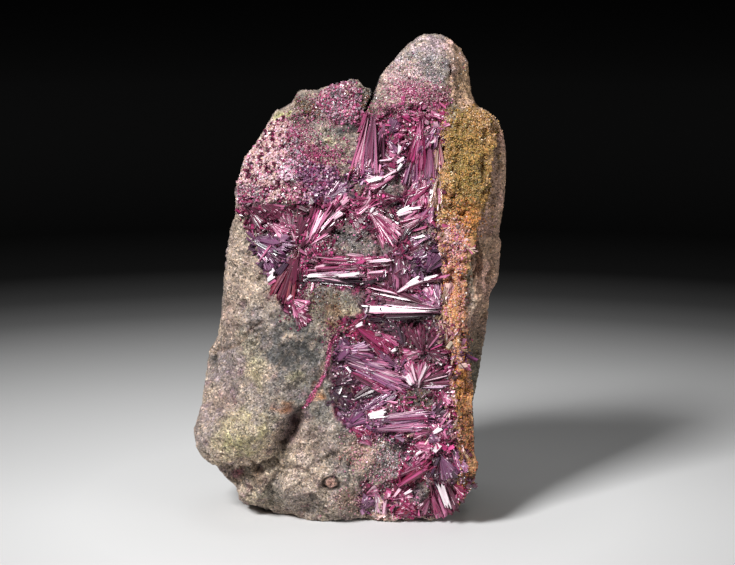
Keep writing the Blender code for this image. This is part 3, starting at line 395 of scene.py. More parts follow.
# Fans of laths by spray: root and middle tip in picture points, spread in degrees, number
# of laths, lath width in picture points, and mixture of colours
FANS = {
    "top_upright": [
        (374, 114, 366, 172, 24, 80, 2, "fibre"), (369, 114, 356, 176, 8, 36, 1.8, "rose"),
        (366, 113, 362, 136, 22, 24, 1.8, "bright"), (384, 124, 376, 160, 22, 60, 1.8, "fibre"),
        (371, 138, 366, 168, 12, 30, 1.6, "mauve"),
    ],
    "top_small": [
        (391, 132, 398, 120, 60, 26, 2.2, "purple"), (373, 160, 398, 170, 16, 30, 2.6, "wine"),
        (388, 140, 400, 150, 50, 22, 1.8, "purple"), (384, 152, 400, 160, 30, 20, 1.8, "fibre"),
    ],
    "top_blades": [
        (422, 116, 415, 170, 20, 90, 2.2, "rose"), (438, 122, 425, 152, 26, 56, 2, "mauve"),
        (443, 118, 428, 113, 30, 18, 2, "bright"), (431, 140, 428, 180, 26, 70, 1.8, "fibre"),
        (416, 144, 410, 186, 24, 70, 1.8, "mauve"), (423, 166, 417, 207, 34, 80, 1.8, "rose"),
        (440, 140, 436, 172, 26, 50, 1.8, "rust"), (440, 176, 436, 210, 26, 50, 1.8, "rust"),
    ],
    "flakes": [
        (396, 175, 369, 190, 14, 26, 2.4, "rose"), (384, 181, 366, 180, 26, 18, 2.2, "pale_and_glare"),
        (374, 200, 352, 206, 50, 28, 2, "rose"), (400, 198, 380, 200, 40, 26, 1.8, "wine"),
    ],
    "rose": [
        (431, 186, 409, 203, 46, 60, 2, "rose"), (426, 178, 412, 182, 60, 26, 1.8, "purple"),
        (434, 204, 424, 222, 40, 26, 1.8, "mauve"),
    ],
    "white_flag": [
        (368, 208, 397, 239, 32, 90, 2.2, "rose"), (365, 204, 384, 214, 34, 36, 2, "wine"),
        (432, 214, 402, 226, 26, 50, 2.2, "rose"), (430, 236, 412, 242, 26, 30, 2, "mauve"),
        (401, 240, 414, 222, 24, 24, 2, "deep"), (424, 246, 408, 252, 40, 26, 1.8, "wine"),
    ],
    "y_flake": [(360, 212, 378, 202, 60, 34, 2, "rose"), (350, 214, 362, 226, 50, 26, 1.8, "wine")],
    "diagonal": [
        (302, 249, 325, 207, 20, 60, 2.4, "wine"), (309, 247, 337, 215, 12, 36, 2.4, "wine"),
        (311, 246, 331, 233, 12, 20, 2, "wine"), (328, 216, 346, 199, 36, 40, 2.2, "rose"),
        (297, 238, 308, 212, 30, 24, 2, "wine"), (326, 200, 345, 186, 44, 36, 2, "purple"),
        (292, 232, 284, 214, 40, 20, 1.8, "wine"),
    ],
    "shoulder_dark": [
        (244, 202, 268, 226, 34, 80, 2, "wine"), (262, 204, 284, 214, 36, 40, 2, "wine"),
        (270, 222, 290, 236, 44, 34, 2, "rose"),
    ],
    "left_maroon": [
        (257, 238, 287, 256, 58, 22, 3.4, "purple"), (258, 246, 276, 266, 40, 30, 2.4, "purple"),
        (298, 250, 279, 298, 24, 76, 1.9, "garnet"), (302, 252, 292, 288, 18, 40, 1.9, "wine"),
        (292, 236, 276, 248, 36, 36, 2, "wine"),
    ],
    "left_tip": [(292, 300, 306, 312, 70, 44, 1.8, "rose"), (296, 312, 308, 324, 60, 26, 1.6, "wine")],
    "band_upper": [
        (392, 262, 322, 266, 6, 70, 2.4, "rose"), (386, 258, 336, 260, 5, 36, 2.2, "bright"),
        (310, 268, 330, 264, 20, 20, 2, "wine"), (392, 271, 364, 279, 14, 36, 2.2, "rose"),
        (388, 276, 360, 283, 12, 26, 2, "deep"),
    ],
    "band_white": [
        (304, 275, 364, 274, 3, 20, 2, "pale_and_glare"), (303, 280, 366, 279, 4, 26, 1.8, "deep"),
        (304, 271, 330, 270, 8, 16, 1.8, "rose"),
    ],
    "arc": [
        (399, 250, 400, 288, 30, 110, 2, "fibre"), (389, 252, 391, 284, 14, 40, 2, "wine"),
        (396, 294, 424, 279, 12, 40, 2.4, "rose"), (418, 282, 444, 276, 10, 26, 2.2, "bright"),
        (440, 311, 372, 290, 12, 60, 2.2, "wine"), (442, 308, 402, 298, 16, 46, 2, "mauve"),
        (440, 306, 430, 285, 54, 60, 1.8, "mauve"), (426, 272, 440, 254, 50, 50, 2.2, "purple"),
        (412, 262, 424, 250, 50, 36, 2, "purple"), (446, 304, 449, 284, 30, 34, 1.6, "rust"),
    ],
    # The second fan, of deep colours, is a painted shadow under the long white blade.
    "long_white": [(440, 311, 368, 309, 4, 40, 2.4, "pale_and_glare"), (438, 315, 372, 317, 5, 30, 2, "deep")],
    "ridged": [
        (347, 330, 366, 324, 50, 44, 2.4, "ruby"), (350, 322, 392, 352, 18, 60, 2.4, "ruby"),
        (334, 356, 352, 348, 60, 14, 4.2, "purple"), (338, 350, 374, 352, 28, 36, 3, "mauve"),
        (345, 362, 406, 386, 13, 130, 2.4, "mauve"), (346, 370, 392, 390, 14, 70, 2.2, "rose"),
        (346, 357, 388, 366, 16, 60, 2.4, "mauve"), (378, 334, 396, 348, 50, 60, 2.2, "bright"),
        (362, 412, 394, 393, 18, 70, 2.4, "purple"), (352, 400, 378, 388, 26, 50, 2.2, "deep"),
        (336, 384, 352, 376, 50, 40, 2.4, "deep"), (338, 396, 352, 404, 60, 40, 2.4, "deep"),
        (396, 366, 376, 354, 34, 50, 2.2, "purple"),
    ],
    "maroon_fan": [
        (423, 351, 414, 325, 44, 80, 2, "wine"), (398, 330, 384, 322, 50, 40, 2, "deep"),
        (404, 346, 396, 326, 40, 40, 2, "deep"), (424, 352, 404, 356, 36, 40, 2, "rose"),
    ],
    "right_star": [
        (427, 349, 441, 334, 60, 80, 1.8, "wine"), (446, 344, 452, 330, 50, 30, 1.6, "rust"),
        (428, 352, 448, 356, 40, 40, 1.8, "wine"),
    ],
    "star": [
        (417, 386, 420, 360, 70, 90, 2.4, "bright"), (417, 386, 402, 372, 40, 40, 2.4, "mauve"),
        (420, 385, 450, 387, 16, 60, 2.4, "wine"), (420, 382, 446, 372, 26, 50, 2.2, "wine"),
        (442, 390, 449, 404, 24, 34, 2.4, "rose"), (454, 366, 446, 372, 60, 26, 1.8, "rose"),
    ],
    "lower_block": [
        (347, 426, 364, 414, 44, 20, 3.2, "purple"), (366, 420, 432, 415, 10, 90, 2.6, "mauve"),
        (372, 430, 428, 424, 12, 60, 2.4, "mauve"), (350, 428, 364, 430, 40, 30, 2.2, "rose"),
        (376, 436, 357, 434, 40, 36, 2, "ruby"), (434, 430, 412, 432, 36, 36, 2, "rose"),
        (430, 418, 444, 408, 40, 36, 2, "deep"), (444, 436, 432, 426, 44, 36, 2, "rose"),
    ],
    "red_blades": [(358, 442, 372, 432, 50, 34, 2, "ruby"), (372, 444, 360, 434, 50, 26, 1.8, "rose")],
    "purple_fan": [
        (440, 454, 432, 480, 52, 26, 2.6, "deep"), (440, 456, 452, 478, 40, 22, 2.6, "purple"),
        (396, 487, 434, 462, 14, 70, 2.2, "ruby"), (398, 476, 424, 458, 26, 40, 2, "rose"),
        (414, 446, 430, 452, 50, 40, 2, "rose"), (402, 456, 414, 464, 50, 34, 2, "deep"),
        (453, 448, 463, 470, 20, 24, 3, "mauve"), (438, 442, 428, 436, 50, 26, 1.8, "purple"),
    ],
    "foot_white": [
        (433, 486, 442, 516, 32, 60, 2.4, "bright"), (446, 482, 456, 507, 22, 40, 2.2, "wine"),
        (454, 484, 466, 498, 34, 40, 2, "ruby"),
    ],
    "foot_left": [
        (362, 508, 372, 496, 60, 44, 2.2, "purple"), (376, 492, 382, 512, 30, 36, 2.2, "pale_and_glare"),
        (366, 494, 378, 490, 50, 20, 1.8, "rose"),
    ],
    "foot_red": [
        (394, 512, 408, 510, 40, 50, 1.8, "ruby"), (392, 498, 412, 490, 30, 34, 2, "rose"),
        (418, 514, 408, 506, 50, 30, 1.8, "rose"), (430, 498, 420, 512, 40, 30, 1.8, "wine"),
    ],
}

# Single bright cleavage faces by spray: root and tip in picture points, widths there, and colour.
# The white and pale ones are painted highlights, their glare painted into their colour.
BRIGHT_BLADES = {
    "diagonal": [
        (310, 243, 325, 210, 5, 11, "pink"), (306, 247, 333, 207, 2.4, 4, "pink"),
        (312, 240, 325, 211, 2.4, 5, "pale"), (303, 246, 320, 213, 2.4, 4, "hot"),
        (317, 236, 338, 212, 1.9, 3.2, "pink"), (312, 244, 330, 233.5, 1.6, 2.6, "pink"),
        (333, 219, 344, 211, 3.6, 6, "white"), (341, 206, 349, 198, 3, 5, "pale"),
        (328, 222, 336, 212, 2.4, 4, "pale"),
    ],
    "band_white": [(303, 277, 335, 274.5, 2.8, 4.6, "white"), (336, 276.5, 363, 274, 2.8, 4.6, "white")],
    "band_upper": [
        (315, 267.5, 333, 262.5, 2.4, 4, "white"), (331, 264, 367, 261, 3, 5, "hot"),
        (366, 262, 392, 260, 2.2, 3.6, "pale"), (372, 266, 390, 264, 1.6, 2.6, "white"),
        (362, 279, 391, 269, 3, 5, "pink"), (364, 273, 384, 271, 1.6, 2.6, "pale"),
    ],
    "long_white": [
        (441, 311.5, 366, 309.2, 1.6, 8, "white"), (442, 311.5, 412, 310.2, 1.2, 3.4, "pink"),
        (438, 309.3, 392, 306.4, 1, 2, "pale"),
    ],
    "arc": [
        (397, 293, 411, 284, 2.5, 4.2, "pale"), (407, 286, 422, 279, 4.3, 7.2, "white"),
        (420, 280.5, 439, 276.5, 2.8, 4.6, "white"), (436, 278, 450, 276, 2, 3.4, "pink"),
        (368, 288, 397, 294, 1.1, 1.8, "pale"), (373, 293, 412, 301, 1.1, 1.8, "white"),
        (380, 287, 404, 297, 1, 1.6, "pink"), (437, 300, 432, 286, 1.1, 1.8, "pale"),
    ],
    "white_flag": [
        (395.5, 216, 413, 209, 5, 8.4, "white"), (408, 210, 422, 207.5, 1.7, 2.8, "pale"),
        (414, 239.5, 427, 235.5, 1.7, 2.8, "white"), (402, 223, 418, 209, 2, 3.4, "pink"),
        (386, 226, 400, 243, 1.8, 3, "magenta"), (392, 224, 401, 238, 1.7, 2.8, "pink"),
        (380, 222, 396, 238, 1.6, 2.6, "magenta"), (412, 232, 428, 227, 1.4, 2.4, "hot"),
    ],
    "top_small": [
        (399.5, 155, 401.5, 144, 2.2, 3.6, "white"), (396, 164, 404.5, 158, 2.4, 4, "pale"),
        (397, 172, 403, 163, 1.8, 3, "white"), (378, 162, 394, 160, 1.2, 2, "pale"),
    ],
    "flakes": [
        (366, 183.5, 382, 178.5, 2.6, 4.4, "white"), (381, 180, 399, 170, 1.6, 2.6, "pale"),
        (369, 191, 394, 176, 2.2, 3.6, "pink"),
    ],
    "top_blades": [
        (415, 162, 421, 122, 2.8, 4.6, "pink"), (411, 160, 416, 140, 1.6, 2.6, "hot"),
        (424, 147, 436, 129, 1.8, 3, "lilac"), (430.5, 144, 437, 139, 1.7, 2.8, "white"),
        (427, 112, 442.5, 118.5, 3, 5, "pink"), (430, 113, 440, 117, 1.2, 2, "pale"),
        (431, 195, 434, 190, 1.8, 3, "white"),
    ],
    "top_upright": [
        (352.5, 178, 365, 133, 1.8, 3, "pink"), (361, 128, 366, 114, 2, 3.4, "hot"),
        (368, 168, 374, 150, 1.1, 1.8, "pale"),
    ],
    "y_flake": [(370.5, 214, 376, 206, 2, 3.4, "white"), (371, 215.5, 379, 212.5, 1.8, 3, "white")],
    "left_maroon": [
        (266.5, 282, 274, 275.5, 3.2, 5.4, "white"), (270, 275, 275.5, 269, 2.4, 4, "white"),
        (257, 240, 283, 246, 3, 5, "purple"), (257, 244, 280, 256, 3, 5.4, "violet"),
        (298, 253, 283, 302, 4, 9, "maroon"), (297, 254, 275, 288, 3, 8, "wine"),
        (299, 256, 295, 284, 3.6, 7, "wine"), (288, 262, 276, 276, 4, 8, "violet"),
        (260, 262, 272, 246, 1.2, 2, "pink"), (299, 256, 290, 284, 1.6, 2.6, "magenta"),
        (297, 254, 281, 300, 1.9, 3.2, "magenta"), (258, 252, 270, 264, 1.2, 2, "lilac"),
    ],
    "ridged": [
        (355, 327, 364, 322.5, 2.6, 4.4, "white"), (391, 352, 396, 349, 2, 3.4, "white"),
        (346, 361, 404, 384, 2.2, 3.6, "pink"), (347, 366, 392, 386, 1.8, 3, "lilac"),
        (350, 359, 386, 370, 1.8, 3, "lilac"), (372, 364, 402, 380, 1.6, 2.6, "pink"),
        (336, 362, 350, 347, 4.2, 7, "purple"), (344, 352, 366, 344, 3.2, 5.4, "lilac"),
        (382, 334, 397, 345, 2.2, 3.6, "hot"), (352, 325, 386, 350, 2.4, 4, "magenta"),
        (380, 392, 404, 386, 1.7, 2.8, "pink"), (364, 410, 392, 395, 1.6, 2.6, "lilac"),
        (380, 400, 398, 404, 1.4, 2.4, "pink"),
    ],
    "star": [
        (413, 384.5, 406.5, 372.5, 5.8, 9.6, "white"), (417, 385, 427, 363, 1.9, 3.2, "white"),
        (417, 385, 421.5, 361, 1.8, 3, "pink"), (418, 384, 432, 371, 1.4, 2.4, "pink"),
        (417, 384, 412, 364, 1.6, 2.6, "pale"), (444, 392, 451, 405, 2, 3.4, "pink"),
        (422, 388, 449, 387, 1.6, 2.6, "lilac"),
    ],
    "right_star": [(428, 349, 440, 334, 1.1, 1.8, "pink"), (430, 350, 446, 343, 1.1, 1.8, "hot")],
    "lower_block": [
        (368.5, 417, 387.5, 413.5, 5.4, 9, "white"), (392, 418, 403.5, 415, 2, 3.4, "white"),
        (388, 424, 426, 416, 2.8, 4.6, "lilac"), (380, 430, 420, 424, 2.2, 3.6, "pink"),
        (349, 424, 364, 412, 3.2, 5.4, "purple"), (433, 434, 442, 428, 3, 5, "white"),
    ],
    "purple_fan": [
        (434, 452, 440, 444.5, 3.6, 6, "white"), (415, 456, 423, 450.5, 2, 3.4, "pale"),
        (454, 448, 464, 470, 3.2, 5.4, "lilac"), (398, 485, 430, 464, 1.8, 3, "hot"),
        (440, 456, 430, 478, 1.8, 3, "violet"), (418, 462, 426, 456, 1.8, 3, "pink"),
    ],
    "foot_white": [
        (440.5, 482, 452.5, 514, 7.4, 5.8, "white"), (434, 490, 445, 515, 3, 6, "hot"),
        (432, 492, 437, 513, 2.4, 4, "magenta"), (440, 492, 449, 514, 1.6, 2.6, "pink"),
    ],
    "foot_red": [
        (394, 497, 401, 488, 2, 3.4, "pale"), (404, 495, 413, 490, 1.9, 3.2, "white"),
        (400, 513, 417, 508, 1.4, 2.4, "red"),
    ],
    "foot_left": [(376, 514, 382, 498, 2.2, 3.6, "cream"), (384, 516, 386, 500, 1.8, 3, "pale")],
    "left_tip": [(288, 302, 294, 297, 1.4, 2.4, "pale"), (300, 310, 306, 305, 1.4, 2.4, "pink")],
}

# How much further the bright faces of a spray stand out, in millimetres
FORWARD = {"foot_white": 0.8}

# Mixtures of the small crystals between the sprays: centre and half sizes in picture points
FIELD_MIXTURES = [
    ("rose", 395, 120, 40, 30), ("purple", 395, 132, 14, 12), ("fibre", 420, 170, 24, 50),
    ("rose", 350, 205, 30, 14), ("wine", 350, 225, 24, 18), ("deep", 410, 225, 18, 30),
    ("wine", 280, 215, 40, 20), ("purple", 268, 252, 14, 14), ("rose", 300, 225, 20, 20),
    ("purple", 330, 180, 26, 20), ("wine", 300, 300, 20, 20), ("rose", 350, 268, 40, 10),
    ("fibre", 400, 270, 14, 24), ("purple", 430, 265, 14, 16), ("mauve", 430, 296, 16, 14),
    ("rust", 450, 300, 12, 60), ("deep", 390, 322, 40, 10), ("wine", 400, 340, 40, 20),
    ("ruby", 360, 330, 20, 12), ("purple", 345, 355, 16, 16), ("deep", 345, 392, 16, 20),
    ("mauve", 375, 372, 30, 20), ("wine", 435, 375, 24, 24), ("rose", 400, 405, 30, 14),
    ("purple", 355, 420, 16, 14), ("mauve", 400, 422, 36, 12), ("cream", 415, 432, 16, 8),
    ("deep", 404, 443, 12, 8), ("rose", 425, 450, 30, 16), ("deep", 445, 470, 20, 18),
    ("wine", 445, 500, 22, 18), ("ruby", 405, 480, 24, 20), ("purple", 370, 500, 14, 14),
    ("cream", 382, 505, 10, 16), ("rose", 400, 500, 30, 16), ("rust", 456, 236, 12, 14),
    ("purple", 460, 354, 8, 10), ("rust", 460, 400, 8, 60),
]

# Small crystals scattered over bare stone: centre and half sizes in picture points, number,
# size range and mixture
DUSTINGS = [
    (412, 90, 30, 12, 900, (0.8, 2), "dust"), (436, 96, 16, 10, 300, (0.8, 2), "dust"),
    (410, 92, 14, 8, 260, (0.8, 2), "bright"), (420, 66, 38, 26, 1100, (0.7, 1.7), "snow"),
    (398, 78, 24, 26, 500, (0.7, 1.7), "blush"), (330, 106, 34, 22, 700, (0.8, 1.9), "dust"),
    (300, 134, 20, 22, 600, (0.8, 2.2), "dust"), (318, 156, 24, 14, 500, (0.8, 2.2), "rose"),
    (342, 156, 14, 22, 200, (0.8, 1.8), "dust"), (352, 242, 28, 20, 420, (0.7, 1.7), "snow"),
    (330, 300, 30, 18, 360, (0.7, 1.7), "soil"), (300, 300, 20, 22, 420, (0.8, 2), "wine"),
    (332, 338, 12, 18, 240, (0.8, 1.8), "wine"), (366, 455, 26, 24, 620, (0.8, 2), "cream"),
    (386, 480, 24, 20, 420, (0.8, 2), "dust"), (386, 456, 18, 20, 560, (0.8, 2.2), "snow"),
    (352, 500, 24, 16, 260, (0.8, 1.8), "cream"), (424, 112, 20, 8, 260, (0.8, 2), "dust"),
    (452, 236, 12, 14, 260, (0.8, 2), "dust"), (460, 354, 7, 9, 160, (0.9, 2.2), "purple"),
    (458, 262, 6, 22, 160, (0.8, 1.8), "dust"), (416, 400, 22, 14, 300, (0.7, 1.6), "soil"),
    (394, 108, 30, 9, 520, (0.8, 2), "dust"), (366, 100, 7, 12, 320, (0.8, 2), "soil"),
    (307, 106, 14, 9, 520, (0.8, 2), "soil"),
]

# Crumbs on the ochre crust and around its border, in the same form
CRUMBS = [
    (484, 122, 20, 20, 700, (0.8, 2.2), "crumb_tan"), (464, 140, 26, 34, 1500, (0.8, 2.2), "crumb_khaki"),
    (468, 182, 22, 34, 1300, (0.8, 2.2), "crumb_khaki"), (442, 190, 10, 40, 700, (0.8, 2.4), "crumb_tan"),
    (444, 140, 8, 36, 420, (0.8, 2), "crumb_tan"), (466, 218, 16, 20, 420, (0.8, 2.2), "crumb_orange"),
    (452, 244, 16, 30, 900, (0.8, 2.2), "crumb_rosy"), (454, 300, 14, 50, 900, (0.8, 2.2), "crumb_rosy"),
    (461, 370, 11, 60, 600, (0.8, 2), "crumb_orange"), (466, 450, 10, 56, 700, (0.8, 2), "crumb_rust"),
    (446, 196, 9, 22, 500, (0.8, 2.2), "crumb_peach"), (450, 312, 10, 12, 260, (0.8, 2), "crumb_peach"),
]

# Crusts of very small crystals: outline in picture points, number, size range in picture
# points, and mixtures with their centres and half sizes
DRUSES = {
    "druse_shoulder": (
        [(237, 205), (238, 182), (246, 158), (258, 142), (270, 124), (284, 116), (298, 130), (302, 150),
         (312, 164), (338, 166), (342, 186), (330, 204), (300, 204), (270, 202), (250, 200)],
        4200, (1, 3.4),
        [("blush", 262, 160, 30, 50), ("pale_and_glare", 286, 172, 10, 10), ("speckle", 254, 192, 18, 12),
         ("amethyst", 318, 184, 24, 22), ("dust", 300, 190, 14, 12), ("speckle", 296, 148, 12, 20)],
    ),
    "druse_crevice": (
        [(318, 92), (340, 82), (354, 80), (362, 92), (360, 108), (358, 122), (338, 124), (326, 114),
         (316, 104)],
        1200, (1, 3.2),
        [("speckle", 338, 104, 24, 22), ("blush", 350, 92, 8, 8), ("dust", 326, 96, 10, 10),
         ("dust", 344, 112, 8, 8)],
    ),
}


def light_value(level):
    """Share of light for one level of a screen colour."""
    share = level / 255
    return share / 12.92 if share <= 0.04045 else ((share + 0.055) / 1.055) ** 2.4


TONES = {name: np.array([light_value(level) for level in levels]) for name, levels in COLOURS.items()}


def picture_points(points):
    """Where points in millimetres fall in the picture, as an array of x and y."""
    relative = points - EYE
    depth = -(relative @ BACK)
    x = MIDDLE_X + PIXELS_PER_TANGENT * relative[:, 0] / depth
    y = MIDDLE_Y - PIXELS_PER_TANGENT * (relative @ UP) / depth
    return np.stack([x, y], axis=1)


def line_through(x, y):
    """Direction of the camera's line through a picture point."""
    across = (x - MIDDLE_X) / PIXELS_PER_TANGENT
    upward = (MIDDLE_Y - y) / PIXELS_PER_TANGENT
    return (Vector((across, 0, 0)) + VIEW_UP * upward - VIEW_BACK).normalized()


def noise_field(points, wavelength, seed):
    """Smooth noise from about -1 to 1 at each point, as an array."""
    shift = Vector((seed * 7.3, -seed * 3.1, seed * 5.7))
    scale = 1.0 / wavelength
    return np.array([noise.noise(Vector(point) * scale + shift) for point in points])


def cell_field(points, wavelength, seed, stretch=(1, 1, 1)):
    """How far each point is from the border of its cell, and a random value of the cell."""
    shift = Vector((seed * 4.7, seed * 2.9, -seed * 6.1))
    cells = [noise.voronoi(Vector(point) + shift) for point in points * (np.array(stretch) / wavelength)]
    border = [distances[1] - distances[0] for distances, _ in cells]
    return np.array(border), np.array([noise.cell(places[0] * 13.7) for _, places in cells])


def smooth_step(values, low, high):
    share = np.clip((values - low) / (high - low), 0, 1)
    return share * share * (3 - 2 * share)


def ridged(points, waves, start=0.0, crest=0.42, floor=-9.0):
    """Low ridges between pits: the sum of waves of some length, height and seed."""
    for wavelength, height, seed in waves:
        level = crest - np.abs(noise_field(points, wavelength, seed)) * RIDGE_SLOPE
        start = start + height * np.maximum(level, floor)
    return start


def distance_to_path(places, path):
    """Distance of picture points from a path, how far along it each falls, 0 to 1, and the step back."""
    best = np.full(len(places), np.inf)
    along = np.zeros(len(places))
    step = np.zeros(places.shape)
    for index, (start, end) in enumerate(zip(path, path[1:])):
        run = np.array(end, float) - start
        share = np.clip(((places - start) @ run) / (run @ run), 0, 1)
        away = places - start - share[:, None] * run
        distance = np.linalg.norm(away, axis=1)
        nearer = distance < best
        best = np.where(nearer, distance, best)
        along = np.where(nearer, (index + share) / (len(path) - 1), along)
        step = np.where(nearer[:, None], -away, step)
    return best, along, step


def depth_inside(places, outline):
    """Distance of picture points from an outline, more than zero inside it."""
    closed = outline + outline[:1]
    crossings = np.zeros(len(places), bool)
    for (x1, y1), (x2, y2) in zip(closed, closed[1:]):
        if y1 != y2:
            straddles = (y1 > places[:, 1]) != (y2 > places[:, 1])
            crossings ^= straddles & (places[:, 0] < (x2 - x1) * (places[:, 1] - y1) / (y2 - y1) + x1)
    distance = distance_to_path(places, closed)[0]
    return np.where(crossings, distance, -distance)


def oval_share(places, x, y, half_width, half_height, tilt):
    """One at the middle of a tilted oval, falling to nothing past its rim."""
    turn = math.radians(tilt)
    across = (places[:, 0] - x) * math.cos(turn) + (places[:, 1] - y) * math.sin(turn)
    down = (places[:, 1] - y) * math.cos(turn) - (places[:, 0] - x) * math.sin(turn)
    return 1 - smooth_step(np.sqrt((across / half_width) ** 2 + (down / half_height) ** 2), 0.55, 1.25)


def blend(colours, *steps):
    """Move an array of colours towards named ones in turn, each by a share for each point."""
    for share, name in steps:
        colours = colours + (TONES[name] - colours) * np.clip(share, 0, 1)[:, None]
    return colours


def warped(places, points, amount, wavelength, seed):
    """Picture points pushed about by noise, so that borders drawn on them are ragged."""
    push, fine = (
        np.stack([noise_field(points, length, first), noise_field(points, length, first + 1)], axis=1)
        for length, first in ((wavelength, seed), (wavelength / 3.5, seed + 2))
    )
    return places + push * amount + fine * (amount * 0.6)


def points_of(mesh):
    """A mesh's points and their outward directions, in millimetres."""
    places, normals = np.empty((2, len(mesh.vertices) * 3))
    mesh.vertices.foreach_get("co", places)
    mesh.vertices.foreach_get("normal", normals)
    return places.reshape(-1, 3) / MM, normals.reshape(-1, 3)


def set_colour(mesh, colours):
    layer = mesh.color_attributes.new("tone", "FLOAT_COLOR", "POINT")
    values = np.ones((len(mesh.vertices), 4))
    values[:, :3] = colours
    layer.data.foreach_set("color", values.ravel())


def link(name, data):
    item = bpy.data.objects.new(name, data)
    bpy.context.scene.collection.objects.link(item)
    return item


def bake_modifiers(item):
    graph = bpy.context.evaluated_depsgraph_get()
    graph.update()
    mesh = bpy.data.meshes.new_from_object(item.evaluated_get(graph), depsgraph=graph)
    item.modifiers.clear()
    item.data = mesh


def skin_over(node, name, voxel, smoothing):
    """A fine even skin over a solid of the frame, its facets rounded off."""
    item = link(name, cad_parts[node].data.copy())
    item.data.materials.clear()
    for attribute in list(item.data.attributes):
        if attribute.name in ("custom_normal", "sharp_edge", "sharp_face"):
            item.data.attributes.remove(attribute)
    item.modifiers.new("weld", "WELD").merge_threshold = 0.00001
    even = item.modifiers.new("even", "REMESH")
    even.mode = "VOXEL"
    even.voxel_size = voxel * MM
    soften = item.modifiers.new("soften", "SMOOTH")
    soften.factor = 0.5
    soften.iterations = smoothing
    bake_modifiers(item)
    return item


def refine_front(item, least_facing):
    """Cut each face that looks to the front into four."""
    bm = bmesh.new()
    bm.from_mesh(item.data)
    front = [face for face in bm.faces if face.normal.y < -least_facing]
    edges = list({edge for face in front for edge in face.edges})
    bmesh.ops.subdivide_edges(bm, edges=edges, cuts=1, use_grid_fill=True)
    bmesh.ops.triangulate(bm, faces=[face for face in bm.faces if len(face.verts) > 4])
    bm.to_mesh(item.data)
    bm.free()
    item.data.update()


def face_tree(items):
    places = []
    faces = []
    for item in items:
        first = len(places)
        places.extend(Vector(place) for place in points_of(item.data)[0])
        faces.extend(tuple(first + index for index in polygon.vertices) for polygon in item.data.polygons)
    return BVHTree.FromPolygons(places, faces)


def seen_share(points, normals, tree):
    """How much each point looks to the camera, and nothing where stone hides it."""
    facing = smooth_step(normals @ BACK, 0.05, 0.35)
    for index in np.flatnonzero(facing):
        way = Vector(points[index]) - CAMERA_PLACE
        distance = tree.ray_cast(CAMERA_PLACE, way.normalized())[3]
        if distance is not None and distance < way.length - HIDDEN_DEPTH:
            facing[index] = 0
    return facing


def rock_colours(points, normals, places, facing):
    """Colour of the stone at each point: stains on the face, weathered sides and back.

    Each noise has its own wavelength in millimetres and its own seed.
    """
    ragged = warped(places, points, 9, 5, 3)
    middle = noise_field(points, 4, 22)
    mottle = 0.75 + 0.9 * noise_field(points, 2.2, 26) + 0.7 * noise_field(points, 0.9, 27)
    spot = noise_field(points, 1.5, 28)
    right = smooth_step(normals[:, 0], 0.25, 0.7)
    colours = blend(
        np.tile(TONES["grey"], (len(points), 1)),
        (0.5 + 1.2 * noise_field(points, 11, 21), "beige"), (0.9 * middle - 0.15, "mauve"),
        (0.9 * noise_field(points, 7, 23) - 0.1, "olive"), (0.9 * spot - 0.08, "dusk"),
        (-0.9 * spot - 0.1, "beige"), (right * 0.8, "side_brown"),
        (right * (0.3 + 0.9 * middle), "side_rose"),
        (right * smooth_step(places[:, 1], *OLIVE_HEIGHTS) * 0.9, "side_olive"),
    )
    islands = np.zeros(len(points))
    for name, *oval, strength in STONE_STAINS:
        share = oval_share(ragged, *oval)
        colours = blend(colours, (share * facing * mottle * strength, name))
        if name in BARE_STONE:
            islands = np.maximum(islands, share * strength)
    distance, along, _ = distance_to_path(ragged, OCHRE_SEAM_LINE)
    seam = (1 - smooth_step(distance, 5, 12)) * facing
    seam *= smooth_step(depth_inside(ragged, OCHRE_SEAM), -4, 0)
    field = smooth_step(depth_inside(ragged, CRYSTAL_FIELD), -3, 4) * facing * (1 - seam * 0.7)
    bloom = field * (1 - islands * 0.9)
    speck = noise_field(points, 1.6, 25)
    colours = blend(
        colours, (seam * (0.6 + mottle * 0.4), "rosy_tan"),
        (seam * mottle * smooth_step(along, 0.55, 0.85), "rust"), (seam * (middle * 1.6 - 0.1), "orange"),
        (bloom * (0.75 + 0.5 * middle), "dusk"), (bloom * smooth_step(speck, 0.0, 0.4) * 0.9, "magenta"),
        (bloom * smooth_step(-speck, 0.2, 0.5) * 0.5, "lilac"),
    )
    return colours, field, bloom


def paths_on_rock(points, places, colours, normals):
    """Rise and colour of the veins, grooves and cracks, and of the rimmed inclusion, with painted shade in
    the grooves, cracks and dark hollow.
    """
    rise = np.zeros(len(points))
    facing = smooth_step(normals @ BACK, 0.1, 0.4)
    wander = warped(places, points, 1.6, 2.4, 31)
    patchy = 0.7 + 1.2 * noise_field(points, 1.3, 34)
    for path, half_width in VEINS:
        distance, along, _ = distance_to_path(wander, path)
        vein = (1 - smooth_step(distance, half_width * 0.6, half_width * 1.8)) * facing
        rise += vein * 0.2
        colours = blend(
            colours, (vein * patchy, "bloom"), (vein * patchy * smooth_step(along, 0.7, 1.0) * 0.8, "rust"),
        )
    for path, half_width, depth in GROOVES:
        groove = (1 - smooth_step(distance_to_path(wander, path)[0], 0, half_width * 1.5)) * facing
        rise -= groove * depth
        # Painted shade: the grooves and cracks are browned.
        colours = blend(colours, (groove * 0.5, "brown"))
    hollow = (1 - smooth_step(distance_to_path(wander, DARK_GROOVE)[0], 1, 8)) * facing
    x, y, half_width, half_height = INCLUSION
    loose = warped(places, points, 1.2, 1.4, 36)
    reach = np.sqrt(((loose[:, 0] - x) / half_width) ** 2 + ((loose[:, 1] - y) / half_height) ** 2)
    rim = np.exp(-((reach - 1.0) / 0.24) ** 2) * facing
    core = (1 - smooth_step(reach, 0.65, 0.9)) * facing
    # Painted shade: the dark hollow along the groove is turned plum.
    colours = blend(
        colours, (hollow * patchy * 0.5, "plum"), (core * 0.5, "rosy_tan"), (rim * 1.1, "umber"),
    )
    return rise - hollow * 0.5 - rim * 0.5, colours


